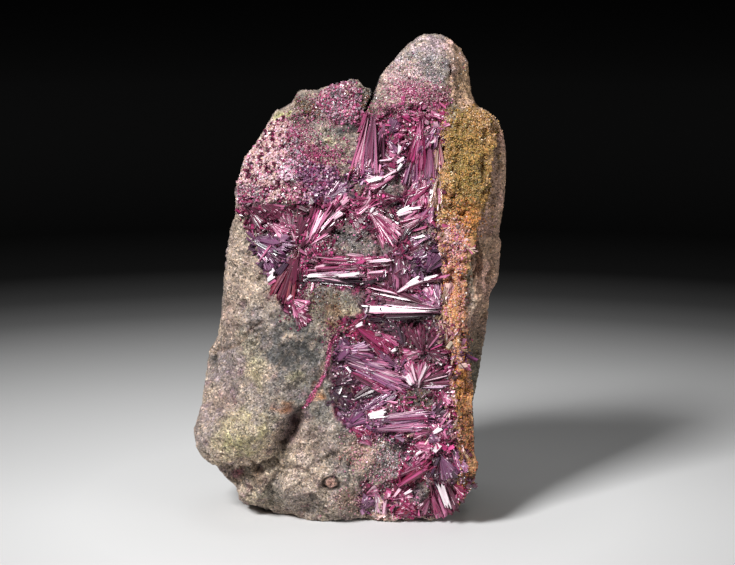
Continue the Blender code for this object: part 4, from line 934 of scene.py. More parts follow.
def fit_outline(points, normals, rim_width):
    """Draw in what stands past the specimen's outline, and draw the rim of the rock out to it."""
    places = picture_points(points)
    distance, _, step = distance_to_path(places, OUTLINE + OUTLINE[:1])
    rim = 1 - smooth_step(np.abs(normals @ BACK), 0.1, rim_width)
    rim *= 1 - smooth_step(distance, *RIM_DISTANCES)
    weight = np.where(depth_inside(places, OUTLINE) < 0, 1.0, rim) * smooth_step(points[:, 2], *FOOT_HEIGHTS)
    push = step * (weight * -((points - EYE) @ BACK) / PIXELS_PER_TANGENT)[:, None]
    return points + push[:, :1] * np.array((1.0, 0, 0)) - push[:, 1:] * UP


def ring_faces(first, last, sides):
    """Faces of a closed solid made of rings of points, from the first ring to the last."""
    faces = []
    for low in range(first, last, sides):
        for index in range(sides):
            after = (index + 1) % sides
            faces.append((low + index, low + after, low + sides + after, low + sides + index))
    return faces + [tuple(reversed(range(first, first + sides))), tuple(range(last, last + sides))]


def carve(item, outline, near, far):
    """Cut away what lies within an outline of picture points, between two distances."""
    rings = round((far - near) / CUTTER_STEP)
    points = []
    for ring in range(rings + 1):
        reach = near + (far - near) * ring / rings
        for x, y in outline:
            waver = Vector((x / 5, y / 5, reach / 3.0))
            way = line_through(x + noise.noise(waver) * 1.6, y + noise.noise(waver * 1.7) * 1.2)
            points.append((CAMERA_PLACE + way * reach) * MM)
    mesh = bpy.data.meshes.new("cutter")
    mesh.from_pydata(points, [], ring_faces(0, rings * len(outline), len(outline)))
    bm = bmesh.new()
    bm.from_mesh(mesh)
    bmesh.ops.recalc_face_normals(bm, faces=bm.faces)
    bm.to_mesh(mesh)
    bm.free()
    # The walls of the cut are slate darkened by painted shade, for the shadow in the gap.
    wall_with_painted_shade = TONES["slate"] * CUT_WALL_PAINTED_SHADE
    set_colour(mesh, wall_with_painted_shade)
    cut = item.modifiers.new("cut", "BOOLEAN")
    cut.operation = "DIFFERENCE"
    cut.solver = "MANIFOLD"
    cut.object = cutter = link("cutter", mesh)
    bake_modifiers(item)
    bpy.data.objects.remove(cutter)
    item.data.materials.clear()
    item.data.polygons.foreach_set("material_index", [0] * len(item.data.polygons))
    layer = item.data.color_attributes["tone"]
    values = np.empty(len(item.data.vertices) * 4)
    layer.data.foreach_get("color", values)
    values = values.reshape(-1, 4)
    values[values[:, :3].min(axis=1) > BLANK_TONE, :3] = wall_with_painted_shade
    layer.data.foreach_set("color", values.ravel())


def finish_skin(item, points, colours, cuts=()):
    """Store the points and colours of a skin, kept within the box of the solids, and cut it."""
    item.data.vertices.foreach_set("co", (np.clip(points, CAD_LOW, CAD_HIGH) * MM).ravel())
    item.data.update()
    set_colour(item.data, colours)
    for outline, reach in cuts:
        carve(item, outline, CAMERA_DISTANCE + CUTTER_START, CAMERA_DISTANCE + reach)
    item.data.shade_smooth()
    item.data.set_sharp_from_angle(angle=SHARP_ANGLE)
    return item


def build_rock():
    """The host rock: broken lumps, veins, cracks and grain, cut by the notch and the slit, with painted
    shade in its pits and among the crystals.
    """
    rock = skin_over("matrix_rock", "rock", ROCK_VOXEL, smoothing=5)
    refine_front(rock, least_facing=0.35)
    points, normals = points_of(rock.data)
    places = picture_points(points)
    facing = seen_share(points, normals, face_tree((rock,)))
    colours, field, bloom = rock_colours(points, normals, places, facing)
    path_rise, colours = paths_on_rock(points, places, colours, normals)
    right = smooth_step(normals[:, 0], 0.3, 0.7)
    points = fit_outline(points, normals, rim_width=0.7)
    front = smooth_step(normals @ BACK, -0.1, 0.4)
    low_face = front * smooth_step(places[:, 1], *LOW_FACE_HEIGHTS)
    waves = ((9, 0.6 + 0.25 * front, 40), (5, 0.45 + 0.1 * front + 0.2 * low_face, 41), (2.4, 0.34, 42))
    rise = ridged(points, waves, floor=-0.45)
    loose = warped(places, points, 4, 4, 37)
    for *oval, height in SWELLS:
        rise += oval_share(loose, *oval) * height * front
    _, value = cell_field(points, 2.6, 51)
    rise = rise * (1 - 0.5 * field) + field * ((value - 0.5) * 0.4 - 0.25)
    border, value = cell_field(points, 3.6, 52, stretch=(1, 1, 0.36))
    rise += right * ((value - 0.5) * 1.1 + 0.3 * np.minimum(border, 0.4))
    points = fit_outline(points + normals * (rise + path_rise)[:, None], normals, rim_width=0.3)
    border, _ = cell_field(points, 0.95, 53)
    fine = ridged(points, ROCK_GRAIN_WAVES, 0.16 * np.minimum(border, 0.5))
    # Painted shade: darker stone in pits and hollows, and darker again under the crystals, between them.
    shade = 1 - 0.35 * smooth_step(-(rise + fine), 0.15, 0.9)
    colours = colours * (shade * np.where(bloom > 0.5, 0.8, 1.0))[:, None]
    return finish_skin(rock, points + normals * fine[:, None], colours, CUTS)


def build_ochre():
    """The ochre crust: crumbs and pits, with a light rim along the seam and painted shade in the pits."""
    crust = skin_over("ochre_crust", "ochre_crust_skin", OCHRE_VOXEL, smoothing=3)
    points, normals = points_of(crust.data)
    places = picture_points(points)
    ragged = warped(places, points, 5, 4, 61)
    colours = blend(
        np.tile(TONES["ochre"], (len(points), 1)), (0.3 + noise_field(points, 3, 62), "tan"),
        *((oval_share(ragged, *oval) * strength, name) for name, *oval, strength in OCHRE_STAINS),
    )
    rise = ridged(points, OCHRE_WAVES, crest=0.4)
    rise += sum(oval_share(ragged, *oval) * height for *oval, height in OCHRE_SWELLS)
    rim = 1 - smooth_step(distance_to_path(warped(places, points, 2, 2.4, 69), SEAM_RIM)[0], 1.5, 4.5)
    rise += rim * 0.4
    colours = blend(colours, (rim * (0.9 - 0.6 * smooth_step(places[:, 1], *RIM_FADE_HEIGHTS)), "peach"))
    border, value = cell_field(points, 1.5, 66)
    rise += (value - 0.5) * 0.5 + 0.2 * np.minimum(border, 0.5)
    torn = warped(places, points, 5, 2.6, 67)
    rise -= 1.1 * (1 - smooth_step(depth_inside(torn, OCHRE_SEAM), -1, 3))
    # Painted shade: the crust is darker where it lies lower, in its pits.
    shade = 1 - 0.4 * smooth_step(-rise, 0.1, 0.6)
    points = fit_outline(points + normals * rise[:, None], normals, rim_width=0.2)
    return finish_skin(crust, points, colours * shade[:, None])


def new_material(name):
    material = bpy.data.materials.new(name)
    material.use_nodes = True
    material.node_tree.nodes.clear()
    return material, material.node_tree


def add(tree, kind, inputs=None, **settings):
    """Outputs of a new shader node with some settings, and values or links for some inputs."""
    node = tree.nodes.new("ShaderNode" + kind)
    for name, value in settings.items():
        setattr(node, name, value)
    for name, value in (inputs or {}).items():
        if isinstance(value, bpy.types.NodeSocket):
            tree.links.new(value, node.inputs[name])
        else:
            node.inputs[name].default_value = value
    return node.outputs


def ramp(tree, value, *stops):
    """A ramp of grey levels, or of colours, over a value."""
    node = tree.nodes.new("ShaderNodeValToRGB")
    tree.links.new(value, node.inputs["Fac"])
    band = node.color_ramp
    while len(band.elements) < len(stops):
        band.elements.new(0.5)
    for element, (place, level) in zip(band.elements, stops):
        element.position = place
        element.color = (*level, 1) if isinstance(level, tuple) else (level, level, level, 1)
    return node.outputs["Color"]


def multiply(tree, colour, *layers):
    for layer in layers:
        inputs = {0: 1.0, 6: colour, 7: layer}
        colour = add(tree, "Mix", inputs, data_type="RGBA", blend_type="MULTIPLY")[2]
    return colour


def surface(tree, inputs):
    shader = add(tree, "BsdfPrincipled", inputs)
    add(tree, "OutputMaterial", {"Surface": shader["BSDF"]})


def stone_material(name, grain_size, contrast, roughness, glint_roughness):
    """Sandy stone: the tone stored in the mesh, broken up by light and dark grains."""
    material, tree = new_material(name)
    place = add(tree, "TexCoord")["Object"]
    place = add(tree, "VectorMath", {0: place, "Scale": 1 / MM}, operation="SCALE")[0]
    tone = add(tree, "Attribute", attribute_name="tone")["Color"]
    grains = add(tree, "TexVoronoi", {"Vector": place, "Scale": 1 / grain_size})
    coarse = add(tree, "TexVoronoi", {"Vector": place, "Scale": 0.42 / grain_size})
    fine = add(tree, "TexNoise", {"Vector": place, "Scale": 2.6 / grain_size, "Detail": 3})["Fac"]
    broad = add(tree, "TexNoise", {"Vector": place, "Scale": 0.3, "Detail": 4})["Fac"]
    pick = add(tree, "SeparateColor", {"Color": grains["Color"]})
    pick_coarse = add(tree, "SeparateColor", {"Color": coarse["Color"]})
    dark = 1 - contrast
    light = 1 + contrast * 1.1
    speckle = ramp(
        tree, pick["Red"],
        (0, dark * 0.5), (0.16, dark), (0.3, 0.86), (0.75, 1.02), (0.9, light), (1, light * 1.35),
    )
    blotch = ramp(tree, pick_coarse["Green"], (0, 0.62), (0.2, 0.88), (0.5, 1), (1, 1.2))
    cloud = ramp(tree, broad, (0.3, 0.8), (0.7, 1.18))
    sand = ramp(tree, fine, (0.3, 0.78), (0.7, 1.2))
    hue = ramp(
        tree, pick["Green"],
        (0, (1.1, 0.98, 0.84)), (0.4, (1, 1, 1)), (0.7, (0.98, 1, 0.94)), (1, (0.94, 0.92, 1.08)),
    )
    colour = multiply(tree, tone, speckle, blotch, cloud, sand, hue)
    shine = ramp(tree, pick["Blue"], (0, roughness), (0.9, roughness), (0.93, glint_roughness))
    height = grain_size * 0.5 * MM
    bumps = {"Height": grains["Distance"], "Strength": 0.75, "Distance": height}
    domes = add(tree, "Bump", bumps, invert=True)["Normal"]
    bumps = {"Height": fine, "Strength": 0.5, "Distance": height, "Normal": domes}
    rough = add(tree, "Bump", bumps)["Normal"]
    surface(tree, {"Base Color": colour, "Roughness": shine, "Normal": rough})
    return material


def crystal_material(name, roughness, streak_contrast, coat=0.35):
    """Pearly to glassy laths: the tint stored in the mesh, with fine lines along each lath."""
    material, tree = new_material(name)
    tint = add(tree, "Attribute", attribute_name="tone")["Color"]
    along = add(tree, "Attribute", attribute_name="lath")["Vector"]
    stretched = add(tree, "VectorMath", {0: along, 1: (7, 0.45, 3.1)}, operation="MULTIPLY")[0]
    lines = add(tree, "TexNoise", {"Vector": stretched, "Scale": 1, "Detail": 3, "Roughness": 0.6})["Fac"]
    streaks = ramp(tree, lines, (0.3, 1 - streak_contrast), (0.52, 1), (0.72, 1 + streak_contrast))
    colour = multiply(tree, tint, streaks)
    ridges = add(tree, "Bump", {"Height": lines, "Strength": 0.35, "Distance": 0.12 * MM})["Normal"]
    shine = ramp(tree, lines, (0.3, roughness * 1.5), (0.7, roughness * 0.7))
    surface(tree, {
        "Base Color": colour, "Roughness": shine, "Normal": ridges,
        "IOR": 1.65 if coat else 1.45, "Coat Weight": coat, "Coat Roughness": 0.12,
    })
    return material


rock = build_rock()
rock.data.materials.append(stone_material(
    "stone", grain_size=0.23, contrast=0.55, roughness=0.82, glint_roughness=0.35,
))
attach(rock, "root")
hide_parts("matrix_rock")

ochre = build_ochre()
ochre.data.materials.append(stone_material(
    "ochre_crumb", grain_size=0.36, contrast=0.5, roughness=0.9, glint_roughness=0.7,
))
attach(ochre, "root")
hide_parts("ochre_crust")

skin = face_tree((rock, ochre))


class Laths:
    """Gathers the points, faces and colours of many small crystals for one piece."""

    def __init__(self):
        self.points = []
        self.faces = []
        self.tones = []
        self.places = []

    def take(self, points, tones, places):
        """Add points, with a colour and a lath place for each, and give the first one's index."""
        self.points.extend(points)
        self.tones.extend(tones)
        self.places.extend(places)
        return len(self.points) - len(points)

    def add(self, points, sides, tones, places):
        """A solid made of rings of points from root to tip."""
        first = self.take(points, tones, places)
        self.faces += ring_faces(first, len(self.points) - sides, sides)

    def add_plate(self, points, columns, tones, places, down):
        """Rows of points from root to tip across a plate, closed by a skirt let into the stone and darkened
        by painted shade.
        """
        last = len(points) - columns
        first = self.take(points, tones, places)
        for low in range(first, first + last, columns):
            for corner in range(low, low + columns - 1):
                self.faces.append((corner, corner + 1, corner + columns + 1, corner + columns))
        border = [
            *range(columns), *range(2 * columns - 1, len(points), columns),
            *range(len(points) - 2, last - 1, -1), *range(last - columns, 0, -columns),
        ]
        skirt = self.take(
            [points[corner] - down for corner in border],
            [tones[corner] * SKIRT_PAINTED_SHADE for corner in border],
            [places[corner] for corner in border],
        )
        for index, corner in enumerate(border):
            after = (index + 1) % len(border)
            self.faces.append((first + border[after], first + corner, skirt + index, skirt + after))
        self.faces.append(tuple(reversed(range(skirt, len(self.points)))))

    def build(self, name):
        mesh = bpy.data.meshes.new(name)
        mesh.from_pydata(np.clip(np.array(self.points), CAD_LOW, CAD_HIGH) * MM, [], self.faces)
        set_colour(mesh, np.array(self.tones))
        layer = mesh.attributes.new("lath", "FLOAT_VECTOR", "POINT")
        layer.data.foreach_set("vector", np.array(self.places).ravel())
        mesh.update()
        return link(name, mesh)


def on_face(x, y):
    """The place on the stone behind a picture point, and the stone's outward direction."""
    for _ in range(MOST_NUDGES):
        place, normal, _, _ = skin.ray_cast(CAMERA_PLACE, line_through(x, y))
        if place is not None:
            return place, normal
        x += (FACE_MIDDLE[0] - x) * NUDGE
        y += (FACE_MIDDLE[1] - y) * NUDGE
    raise ValueError("no stone behind the picture point")


def beside(x, y, root, reach):
    """The place behind a picture point, or one level with the root where the stone falls away."""
    place, _ = on_face(x, y)
    if (place - root).length <= reach * PIXEL_ON_FACE * 1.8 + 0.4:
        return place
    way = line_through(x, y)
    return CAMERA_PLACE + way * ((root - CAMERA_PLACE).dot(VIEW_BACK) / way.dot(VIEW_BACK))


def outward_at(x, y, reach=5):
    """Outward direction of the stone around a picture point, leaning a little to the front."""
    total = VIEW_BACK * 2
    for dx, dy in ((0, 0), (reach, 0), (-reach, 0), (0, reach), (0, -reach)):
        total = total + on_face(x + dx, y + dy)[1]
    return total.normalized()


def between(start, end, share):
    return start + (end - start) * share


def rolled(root, tip, outward, roll):
    """Length and direction from root to tip, and the side and top of a crystal rolled about it."""
    along = tip - root
    length = along.length
    along.normalize()
    side = along.cross(outward).normalized()
    top = side.cross(along).normalized()
    across = side * math.cos(roll) + top * math.sin(roll)
    return length, along, across, top * math.cos(roll) - side * math.sin(roll)


def add_lath(store, seat, width, depth, roll, crest, ends, rng, rings=LATH_RINGS):
    """One flat crystal with a low crest along its top, its sides running into the stone and darkened there
    by painted shade.
    """
    root, tip, outward, clear = seat
    length, along, side, top = rolled(root, tip, outward, roll)
    split = rng.uniform(-0.5, 0.5)
    slant = rng.uniform(-0.9, 0.9) * width
    own = rng.uniform(0, STREAK_SHIFT)
    depth = depth + clear
    down = outward * depth
    points = []
    tones = []
    places = []
    for share, breadth in rings:
        half = width * breadth / 2
        centre = root + along * (length * share)
        skew = along * (slant * 0.5 if share == 1.0 else 0.0)
        left = centre - side * half - skew
        middle = centre + side * (half * split) + top * (crest * breadth)
        right = centre + side * half + skew
        points += [left, middle, right, right - down, left - down]
        tone = between(*ends, share)
        # Painted shade: the points at the foot are darker.
        tones += [tone] * 3 + [tone * LATH_FOOT_PAINTED_SHADE] * 2
        for across in (-half, half * split, half, half + depth, -half - depth):
            places.append((across, length * share, own))
    store.add(points, 5, tones, places)


def add_blade(store, seat, widths, roll, ridge, tones, rng, fade=(0.7, 1.1), end=0.82):
    """A thin plate with low ridges from its narrow root to its unevenly broken end."""
    root, tip, outward, clear = seat
    length, along, side, top = rolled(root, tip, outward, roll)
    ends = [rng.uniform(end, 1.06) for _ in tones]
    roots = [rng.uniform(0, 1 - end) for _ in tones]
    heights = [rng.uniform(-ridge, ridge) for _ in tones]
    own = rng.uniform(0, STREAK_SHIFT)
    points = []
    shades = []
    places = []
    for share in BLADE_ROWS:
        for column, tone in enumerate(tones):
            across = column / (len(tones) - 1) - 0.5
            reach = length * share * (ends[column] if share == 1.0 else 1.0)
            if share == 0.0:
                reach = length * roots[column]
            height = heights[column] * (0.4 + 0.6 * share)
            points.append(root + along * reach + side * (between(*widths, share) * across) + top * height)
            shades.append(tone * between(*fade, share))
            places.append((across * widths[1], reach, own))
    store.add_plate(points, len(tones), shades, places, outward * (BLADE_DEPTH + clear))


def pick_tone(palette, rng):
    """A colour between two picks from a mixture."""
    names, weights = zip(*PALETTES[palette].items())
    first, second = rng.choices(names, weights, k=2)
    return between(TONES[first], TONES[second], rng.uniform(0, 0.5))


def fan_tone(palette, rng):
    """A colour picked for a fan, nearer the middle of the mixture where it has few flashes."""
    tone = pick_tone(palette, rng)
    if palette in DULL:
        weights = PALETTES[palette]
        middle = sum(TONES[name] * weight for name, weight in weights.items()) / sum(weights.values())
        tone = between(tone, middle, 0.4)
    return tone


def grain_tone(palette, gain, rng, gains=(0.75, 1.3)):
    return np.minimum(pick_tone(palette, rng) * rng.uniform(*gains) * gain, LIGHTEST_GRAIN)


def seat_between(start, end, lift, rise, outward=None):
    """Where a crystal lies from one picture point to another, over the stone between them."""
    root, _ = on_face(*start)
    tip = beside(*end, root, math.dist(start, end))
    if outward is None:
        outward = outward_at((start[0] + end[0]) / 2, (start[1] + end[1]) / 2)
    clear = 0.0
    for share in (0.3, 0.5, 0.7, 0.9):
        under, _ = on_face(between(start[0], end[0], share), between(start[1], end[1], share))
        clear = max(clear, (under - root.lerp(tip, share)).dot(outward))
    clear = min(clear, MOST_CLEARANCE)
    return root + outward * (lift + clear * 0.7), tip + outward * (lift + clear + rise), outward, clear


def fan_way(fan, turn):
    """Step in picture points from a fan's root to its rim, turned from its middle line."""
    run_x = fan[2] - fan[0]
    run_y = fan[3] - fan[1]
    return run_x * math.cos(turn) - run_y * math.sin(turn), run_x * math.sin(turn) + run_y * math.cos(turn)


def fan_ends(fan, turn, start, reach, rng=None):
    """Picture points where a crystal of a fan starts and ends, its start shifted by chance."""
    way = fan_way(fan, turn)
    shift = (rng.uniform(-1, 1), rng.uniform(-1, 1)) if rng else (0, 0)
    begin = (fan[0] + way[0] * start + shift[0], fan[1] + way[1] * start + shift[1])
    return begin, (fan[0] + way[0] * reach, fan[1] + way[1] * reach)


def add_sheet(store, fan, rng):
    """A ridged sheet that lies on the stone, its columns side by side from the root to the rim."""
    root_x, root_y, tip_x, tip_y, spread, _, width, palette = fan
    length = math.hypot(tip_x - root_x, tip_y - root_y)
    arc = math.radians(spread) * length + width
    columns = max(5, round(arc / SHEET_COLUMN)) + 1
    outward = outward_at((root_x + tip_x) / 2, (root_y + tip_y) / 2)
    root, _ = on_face(root_x, root_y)
    left = 0
    beds = []
    heights = []
    ends = []
    for column in range(columns):
        if left == 0:
            left = rng.randint(1, 5)
            step = rng.uniform(-0.12, 0.2)
            reach = rng.uniform(0.82, 1.04)
            root_tone, tip_tone = fan_tone(palette, rng) * 0.8, fan_tone(palette, rng)
            # A few columns get a pale tip, a painted highlight.
            if rng.random() < 0.07 and palette not in DULL:
                tip_tone = TONES["pale"]
        left -= 1
        share = column / (columns - 1) - 0.5
        way = fan_way(fan, math.radians(spread) * share)
        reach_here = reach * rng.uniform(0.94, 1.03)
        aside = share * min(width * 1.6, arc)
        x, y = root_x - (tip_y - root_y) / length * aside, root_y + (tip_x - root_x) / length * aside
        beds.append([
            beside(x + way[0] * reach_here * row, y + way[1] * reach_here * row, root, length * row + width)
            for row in SHEET_ROWS
        ])
        heights.append(step + rng.uniform(-0.05, 0.05))
        gain = rng.uniform(0.72, 1.2)
        ends.append((root_tone * gain, tip_tone * gain))
    points = []
    tones = []
    places = []
    own = rng.uniform(0, STREAK_SHIFT)
    for index, row in enumerate(SHEET_ROWS):
        for column, bed in enumerate(beds):
            near = beds[max(0, column - 2):column + 3]
            level = sum((other[index] - root).dot(outward) for other in near) / len(near)
            flat = bed[index] - outward * (bed[index] - root).dot(outward)
            lift = 0.2 + heights[column] * (0.3 + 0.7 * row)
            points.append(flat + outward * (level + lift))
            tones.append(between(*ends[column], row) * rng.uniform(0.9, 1.1))
            places.append((column * 0.12, row * length * PIXEL_ON_FACE, own))
    store.add_plate(points, columns, tones, places, outward * BLADE_DEPTH)


def add_fan(store, fan, rng):
    """A fan of ridged blades that spread from one root, with thin laths and glints over them; the glints and
    the pale laths are painted highlights.
    """
    root_x, root_y, tip_x, tip_y, spread, count, width, palette = fan
    length = math.hypot(tip_x - root_x, tip_y - root_y)
    add_sheet(store, fan, rng)
    blades = max(3, round(count * BLADES_PER_LATH))
    flat, painted_highlight_share, glints = (0.5, 0.04, PAINTED_GLINTS / 3) if palette in DULL else (1.0, 0.14, PAINTED_GLINTS)
    half_spread = spread / 2
    order = list(range(blades))
    rng.shuffle(order)
    for place in order:
        turn = math.radians(spread) * ((place + 0.5) / blades - 0.5) + rng.gauss(0, 0.05)
        reach = rng.uniform(*BLADE_REACHES)
        start = rng.choice((0.0, rng.uniform(0.0, 0.4))) * reach
        ends = fan_ends(fan, turn, start, reach, rng)
        tip_width = 2.2 * math.radians(spread) / blades * length * reach
        tip_width = min(max(tip_width, width * 1.3), 6.5) * rng.uniform(0.7, 1.3) / flat ** 0.4
        root_width = tip_width * (0.3 + 0.6 * start / reach)
        base = fan_tone(palette, rng) * 0.86
        tones = []
        for _ in range(max(4, round(tip_width / BLADE_COLUMN)) + 1):
            tone = fan_tone(palette, rng) * 0.86 if rng.random() < 0.4 else base
            tones.append(tone * rng.uniform(0.65, 1.25))
        seat = seat_between(*ends, rng.uniform(0.0, 0.3) * flat, rng.uniform(-0.1, 0.14) * flat)
        widths = (root_width * PIXEL_ON_FACE, tip_width * PIXEL_ON_FACE)
        add_blade(store, seat, widths, rng.gauss(0, 0.1) * flat, BLADE_RIDGE, tones, rng)
    for _ in range(round(count * THIN_LATHS)):
        turn = math.radians(rng.uniform(-half_spread, half_spread))
        reach = rng.uniform(*LATH_REACHES)
        ends = fan_ends(fan, turn, reach * rng.uniform(0.0, 0.75), reach, rng)
        tone = fan_tone(palette, rng) * rng.uniform(0.6, 1.15)
        # A pale thin lath is a painted highlight.
        if rng.random() < painted_highlight_share:
            tone = TONES["pale"]
        seat = seat_between(*ends, rng.uniform(0.1, 0.3) * flat, rng.uniform(-0.1, 0.2) * flat)
        lath_width = width * rng.uniform(*LATH_WIDTHS) * PIXEL_ON_FACE
        add_lath(store, seat, lath_width, 0.8, rng.gauss(0, 0.3), 0.02, (tone * 0.75, tone), rng)
    # Glints: tiny laths coloured white, pale or pink, as painted highlights.
    for _ in range(round(count * glints)):
        turn = math.radians(rng.uniform(-half_spread, half_spread))
        start = rng.uniform(0.15, 0.9)
        ends = fan_ends(fan, turn, start, start + rng.uniform(*GLINT_LENGTHS) / length)
        seat = seat_between(*ends, rng.uniform(0.2, 0.4), 0.1)
        tone = TONES[rng.choice(("white", "pale", "pink"))]
        lath_width = rng.uniform(*GLINT_WIDTHS) * PIXEL_ON_FACE
        add_lath(store, seat, lath_width, 0.6, 0.0, 0.01, (tone, tone), rng, SHORT_RINGS)


def add_bright_blade(store, blade, forward, rng):
    """A broad clean cleavage face, turned to catch the light; a white or pale one has its glare painted into
    its colour.
    """
    x1, y1, x2, y2, *widths, colour = blade
    # A white or pale face is a painted highlight, its glare painted into its colour.
    light = colour in ("white", "pale")
    tone = TONES[colour]
    edge = TONES["pink"] if light else tone * 0.6
    outward = (outward_at((x1 + x2) / 2, (y1 + y2) / 2) + GLANCE * (1.0 if light else 0.5)).normalized()
    lift = forward + (LIGHT_LIFT if light else PLAIN_LIFT)
    seat = seat_between((x1, y1), (x2, y2), lift, 0.1, outward)
    if light:
        root, tip, outward, clear = seat
        tilt = max(-MOST_TILT, min(MOST_TILT, (tip - root).dot(GLANCE) * 0.8))
        root = root + VIEW_BACK * (tilt / 2 + abs(tilt) / 4)
        tip = tip - VIEW_BACK * (tilt / 2 - abs(tilt) / 4)
        seat = (root, tip, outward, clear + abs(tilt) / 2)
    tones = []
    for _ in range(max(3, round(max(widths) / 1.1)) + 1):
        share = rng.random() ** 3
        tones.append((tone + (edge - tone) * share * 0.9) * rng.uniform(0.85, 1.0))
    widths = [width * PIXEL_ON_FACE for width in widths]
    add_blade(store, seat, widths, 0.0, BLADE_RIDGE, tones, rng, fade=(0.9, 1.0), end=0.74)


def spray_nodes(node):
    """The nodes of the frame that one spray takes the place of."""
    return [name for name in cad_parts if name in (node, node + "_b")]


def build_spray(node, rng):
    store = Laths()
    kind = node.removeprefix("spray_")
    for fan in FANS[kind]:
        add_fan(store, fan, rng)
    for blade in BRIGHT_BLADES.get(kind, []):
        add_bright_blade(store, blade, FORWARD.get(kind, 0.0), rng)
    piece = store.build("crystals_" + kind)
    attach(piece, "root")
    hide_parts(*spray_nodes(node))
    return piece


def mixture_at(x, y, mixtures):
    """The mixture of colours that is strongest at a picture point."""
    return min(mixtures, key=lambda oval: math.hypot((x - oval[1]) / oval[3], (y - oval[2]) / oval[4]))[0]


def random_places(outline, count, rng):
    """Places spread at random inside an outline, in picture points."""
    xs, ys = zip(*outline)
    places = []
    while len(places) < count:
        batch = np.array([
            (rng.uniform(min(xs), max(xs)), rng.uniform(min(ys), max(ys))) for _ in range(count)
        ])
        places.extend(tuple(place) for place in batch[depth_inside(batch, outline) > 0])
    return places[:count]


def on_island(x, y):
    """Whether a picture point lies on bare stone between the crystals."""
    return any(
        name in BARE_STONE and strength >= 0.65
        and math.hypot((x - centre_x) / half_width, (y - centre_y) / half_height) < 0.85
        for name, centre_x, centre_y, half_width, half_height, _, strength in STONE_STAINS
    )


def under_fan(x, y):
    """Whether a picture point lies under the sheet of a fan."""
    for root_x, root_y, tip_x, tip_y, spread, *_ in (fan for fans in FANS.values() for fan in fans):
        run = (tip_x - root_x, tip_y - root_y)
        length = math.hypot(*run)
        reach = math.hypot(x - root_x, y - root_y)
        if 1 < reach < length * 0.95:
            forward = (x - root_x) * run[0] + (y - root_y) * run[1]
            if math.acos(max(-1.0, min(1.0, forward / (reach * length)))) < math.radians(spread) * 0.45:
                return True
    return False


def add_grain(store, x, y, sizes, tone, rng):
    """A tiny blocky crystal that stands on the stone in any direction."""
    size = rng.uniform(*sizes) * PIXEL_ON_FACE
    root, normal = on_face(x, y)
    outward = (normal * 1.5 + VIEW_BACK).normalized()
    lean = Vector([rng.uniform(-1, 1) for _ in range(3)])
    along = (outward + lean * 0.8).normalized()
    side = along.orthogonal().normalized()
    across = along.cross(side)
    spin = rng.uniform(0, math.tau)
    half = size * rng.uniform(0.36, 0.6)
    points = []
    for reach in (-0.15, size * 0.8):
        for corner in range(GRAIN_SIDES):
            turn = spin + corner * math.tau / GRAIN_SIDES
            rise = along * (reach * rng.uniform(0.7, 1.15))
            way = side * math.cos(turn) + across * math.sin(turn)
            points.append(root + rise + way * (half * rng.uniform(0.6, 1.2)))
    # Painted shade: the ring at the grain's foot is darker.
    tones = [tone * 0.85] * GRAIN_SIDES + [tone] * GRAIN_SIDES
    store.add(points, GRAIN_SIDES, tones, [(0, 0, spin)] * len(points))


def small_seat(start, end, lean):
    """Root, outward direction and run of a small crystal, set on the stone by one look at its root."""
    root, normal = on_face(*start)
    outward = (normal + VIEW_BACK * lean).normalized()
    run = beside(*end, root, math.dist(start, end)) - root
    return root, outward, run - outward * run.dot(outward)


def add_small_fan(store, start, end, palette, rng):
    """A little fan of a few short laths."""
    spread = rng.uniform(16, 60)
    count = rng.randint(3, 5)
    width = rng.uniform(1.0, 1.8)
    root, outward, run = small_seat(start, end, 1)
    across = run.cross(outward)
    for _ in range(count):
        turn = math.radians(rng.uniform(-spread / 2, spread / 2))
        way = run * math.cos(turn) + across * math.sin(turn)
        reach = rng.uniform(0.5, 1.1)
        own_root = root + outward * rng.uniform(-0.1, 0.25)
        own_tip = own_root + way * reach + outward * rng.uniform(-0.1, 0.45)
        tone = pick_tone(palette, rng)
        lath_width = width * rng.uniform(0.5, 1.3) * PIXEL_ON_FACE
        roll = rng.gauss(0, 0.5)
        ends = (tone * rng.uniform(0.45, 0.85), tone * rng.uniform(0.85, 1.25))
        seat = (own_root, own_tip, outward, 0)
        add_lath(store, seat, lath_width, 0.7, roll, 0.05, ends, rng, SHORT_RINGS)


def add_facet(store, start, end, palette, rng):
    """A single broken blade."""
    root, outward, run = small_seat(start, end, 0.7)
    root = root + outward * rng.uniform(0.0, 0.25)
    tip = root + run + outward * rng.uniform(-0.1, 0.3)
    tone = pick_tone(palette, rng) * rng.uniform(0.55, 1.15)
    tones = [tone * rng.uniform(0.7, 1.3) for _ in range(rng.randint(3, 4))]
    width = rng.uniform(1.6, 4.6) * PIXEL_ON_FACE
    widths = (width * rng.uniform(0.4, 1.0), width)
    add_blade(store, (root, tip, outward, -0.3), widths, rng.gauss(0, 0.35), 0.04, tones, rng)


def field_mixture(x, y, rng):
    return mixture_at(x + rng.gauss(0, 4), y + rng.gauss(0, 4), FIELD_MIXTURES)


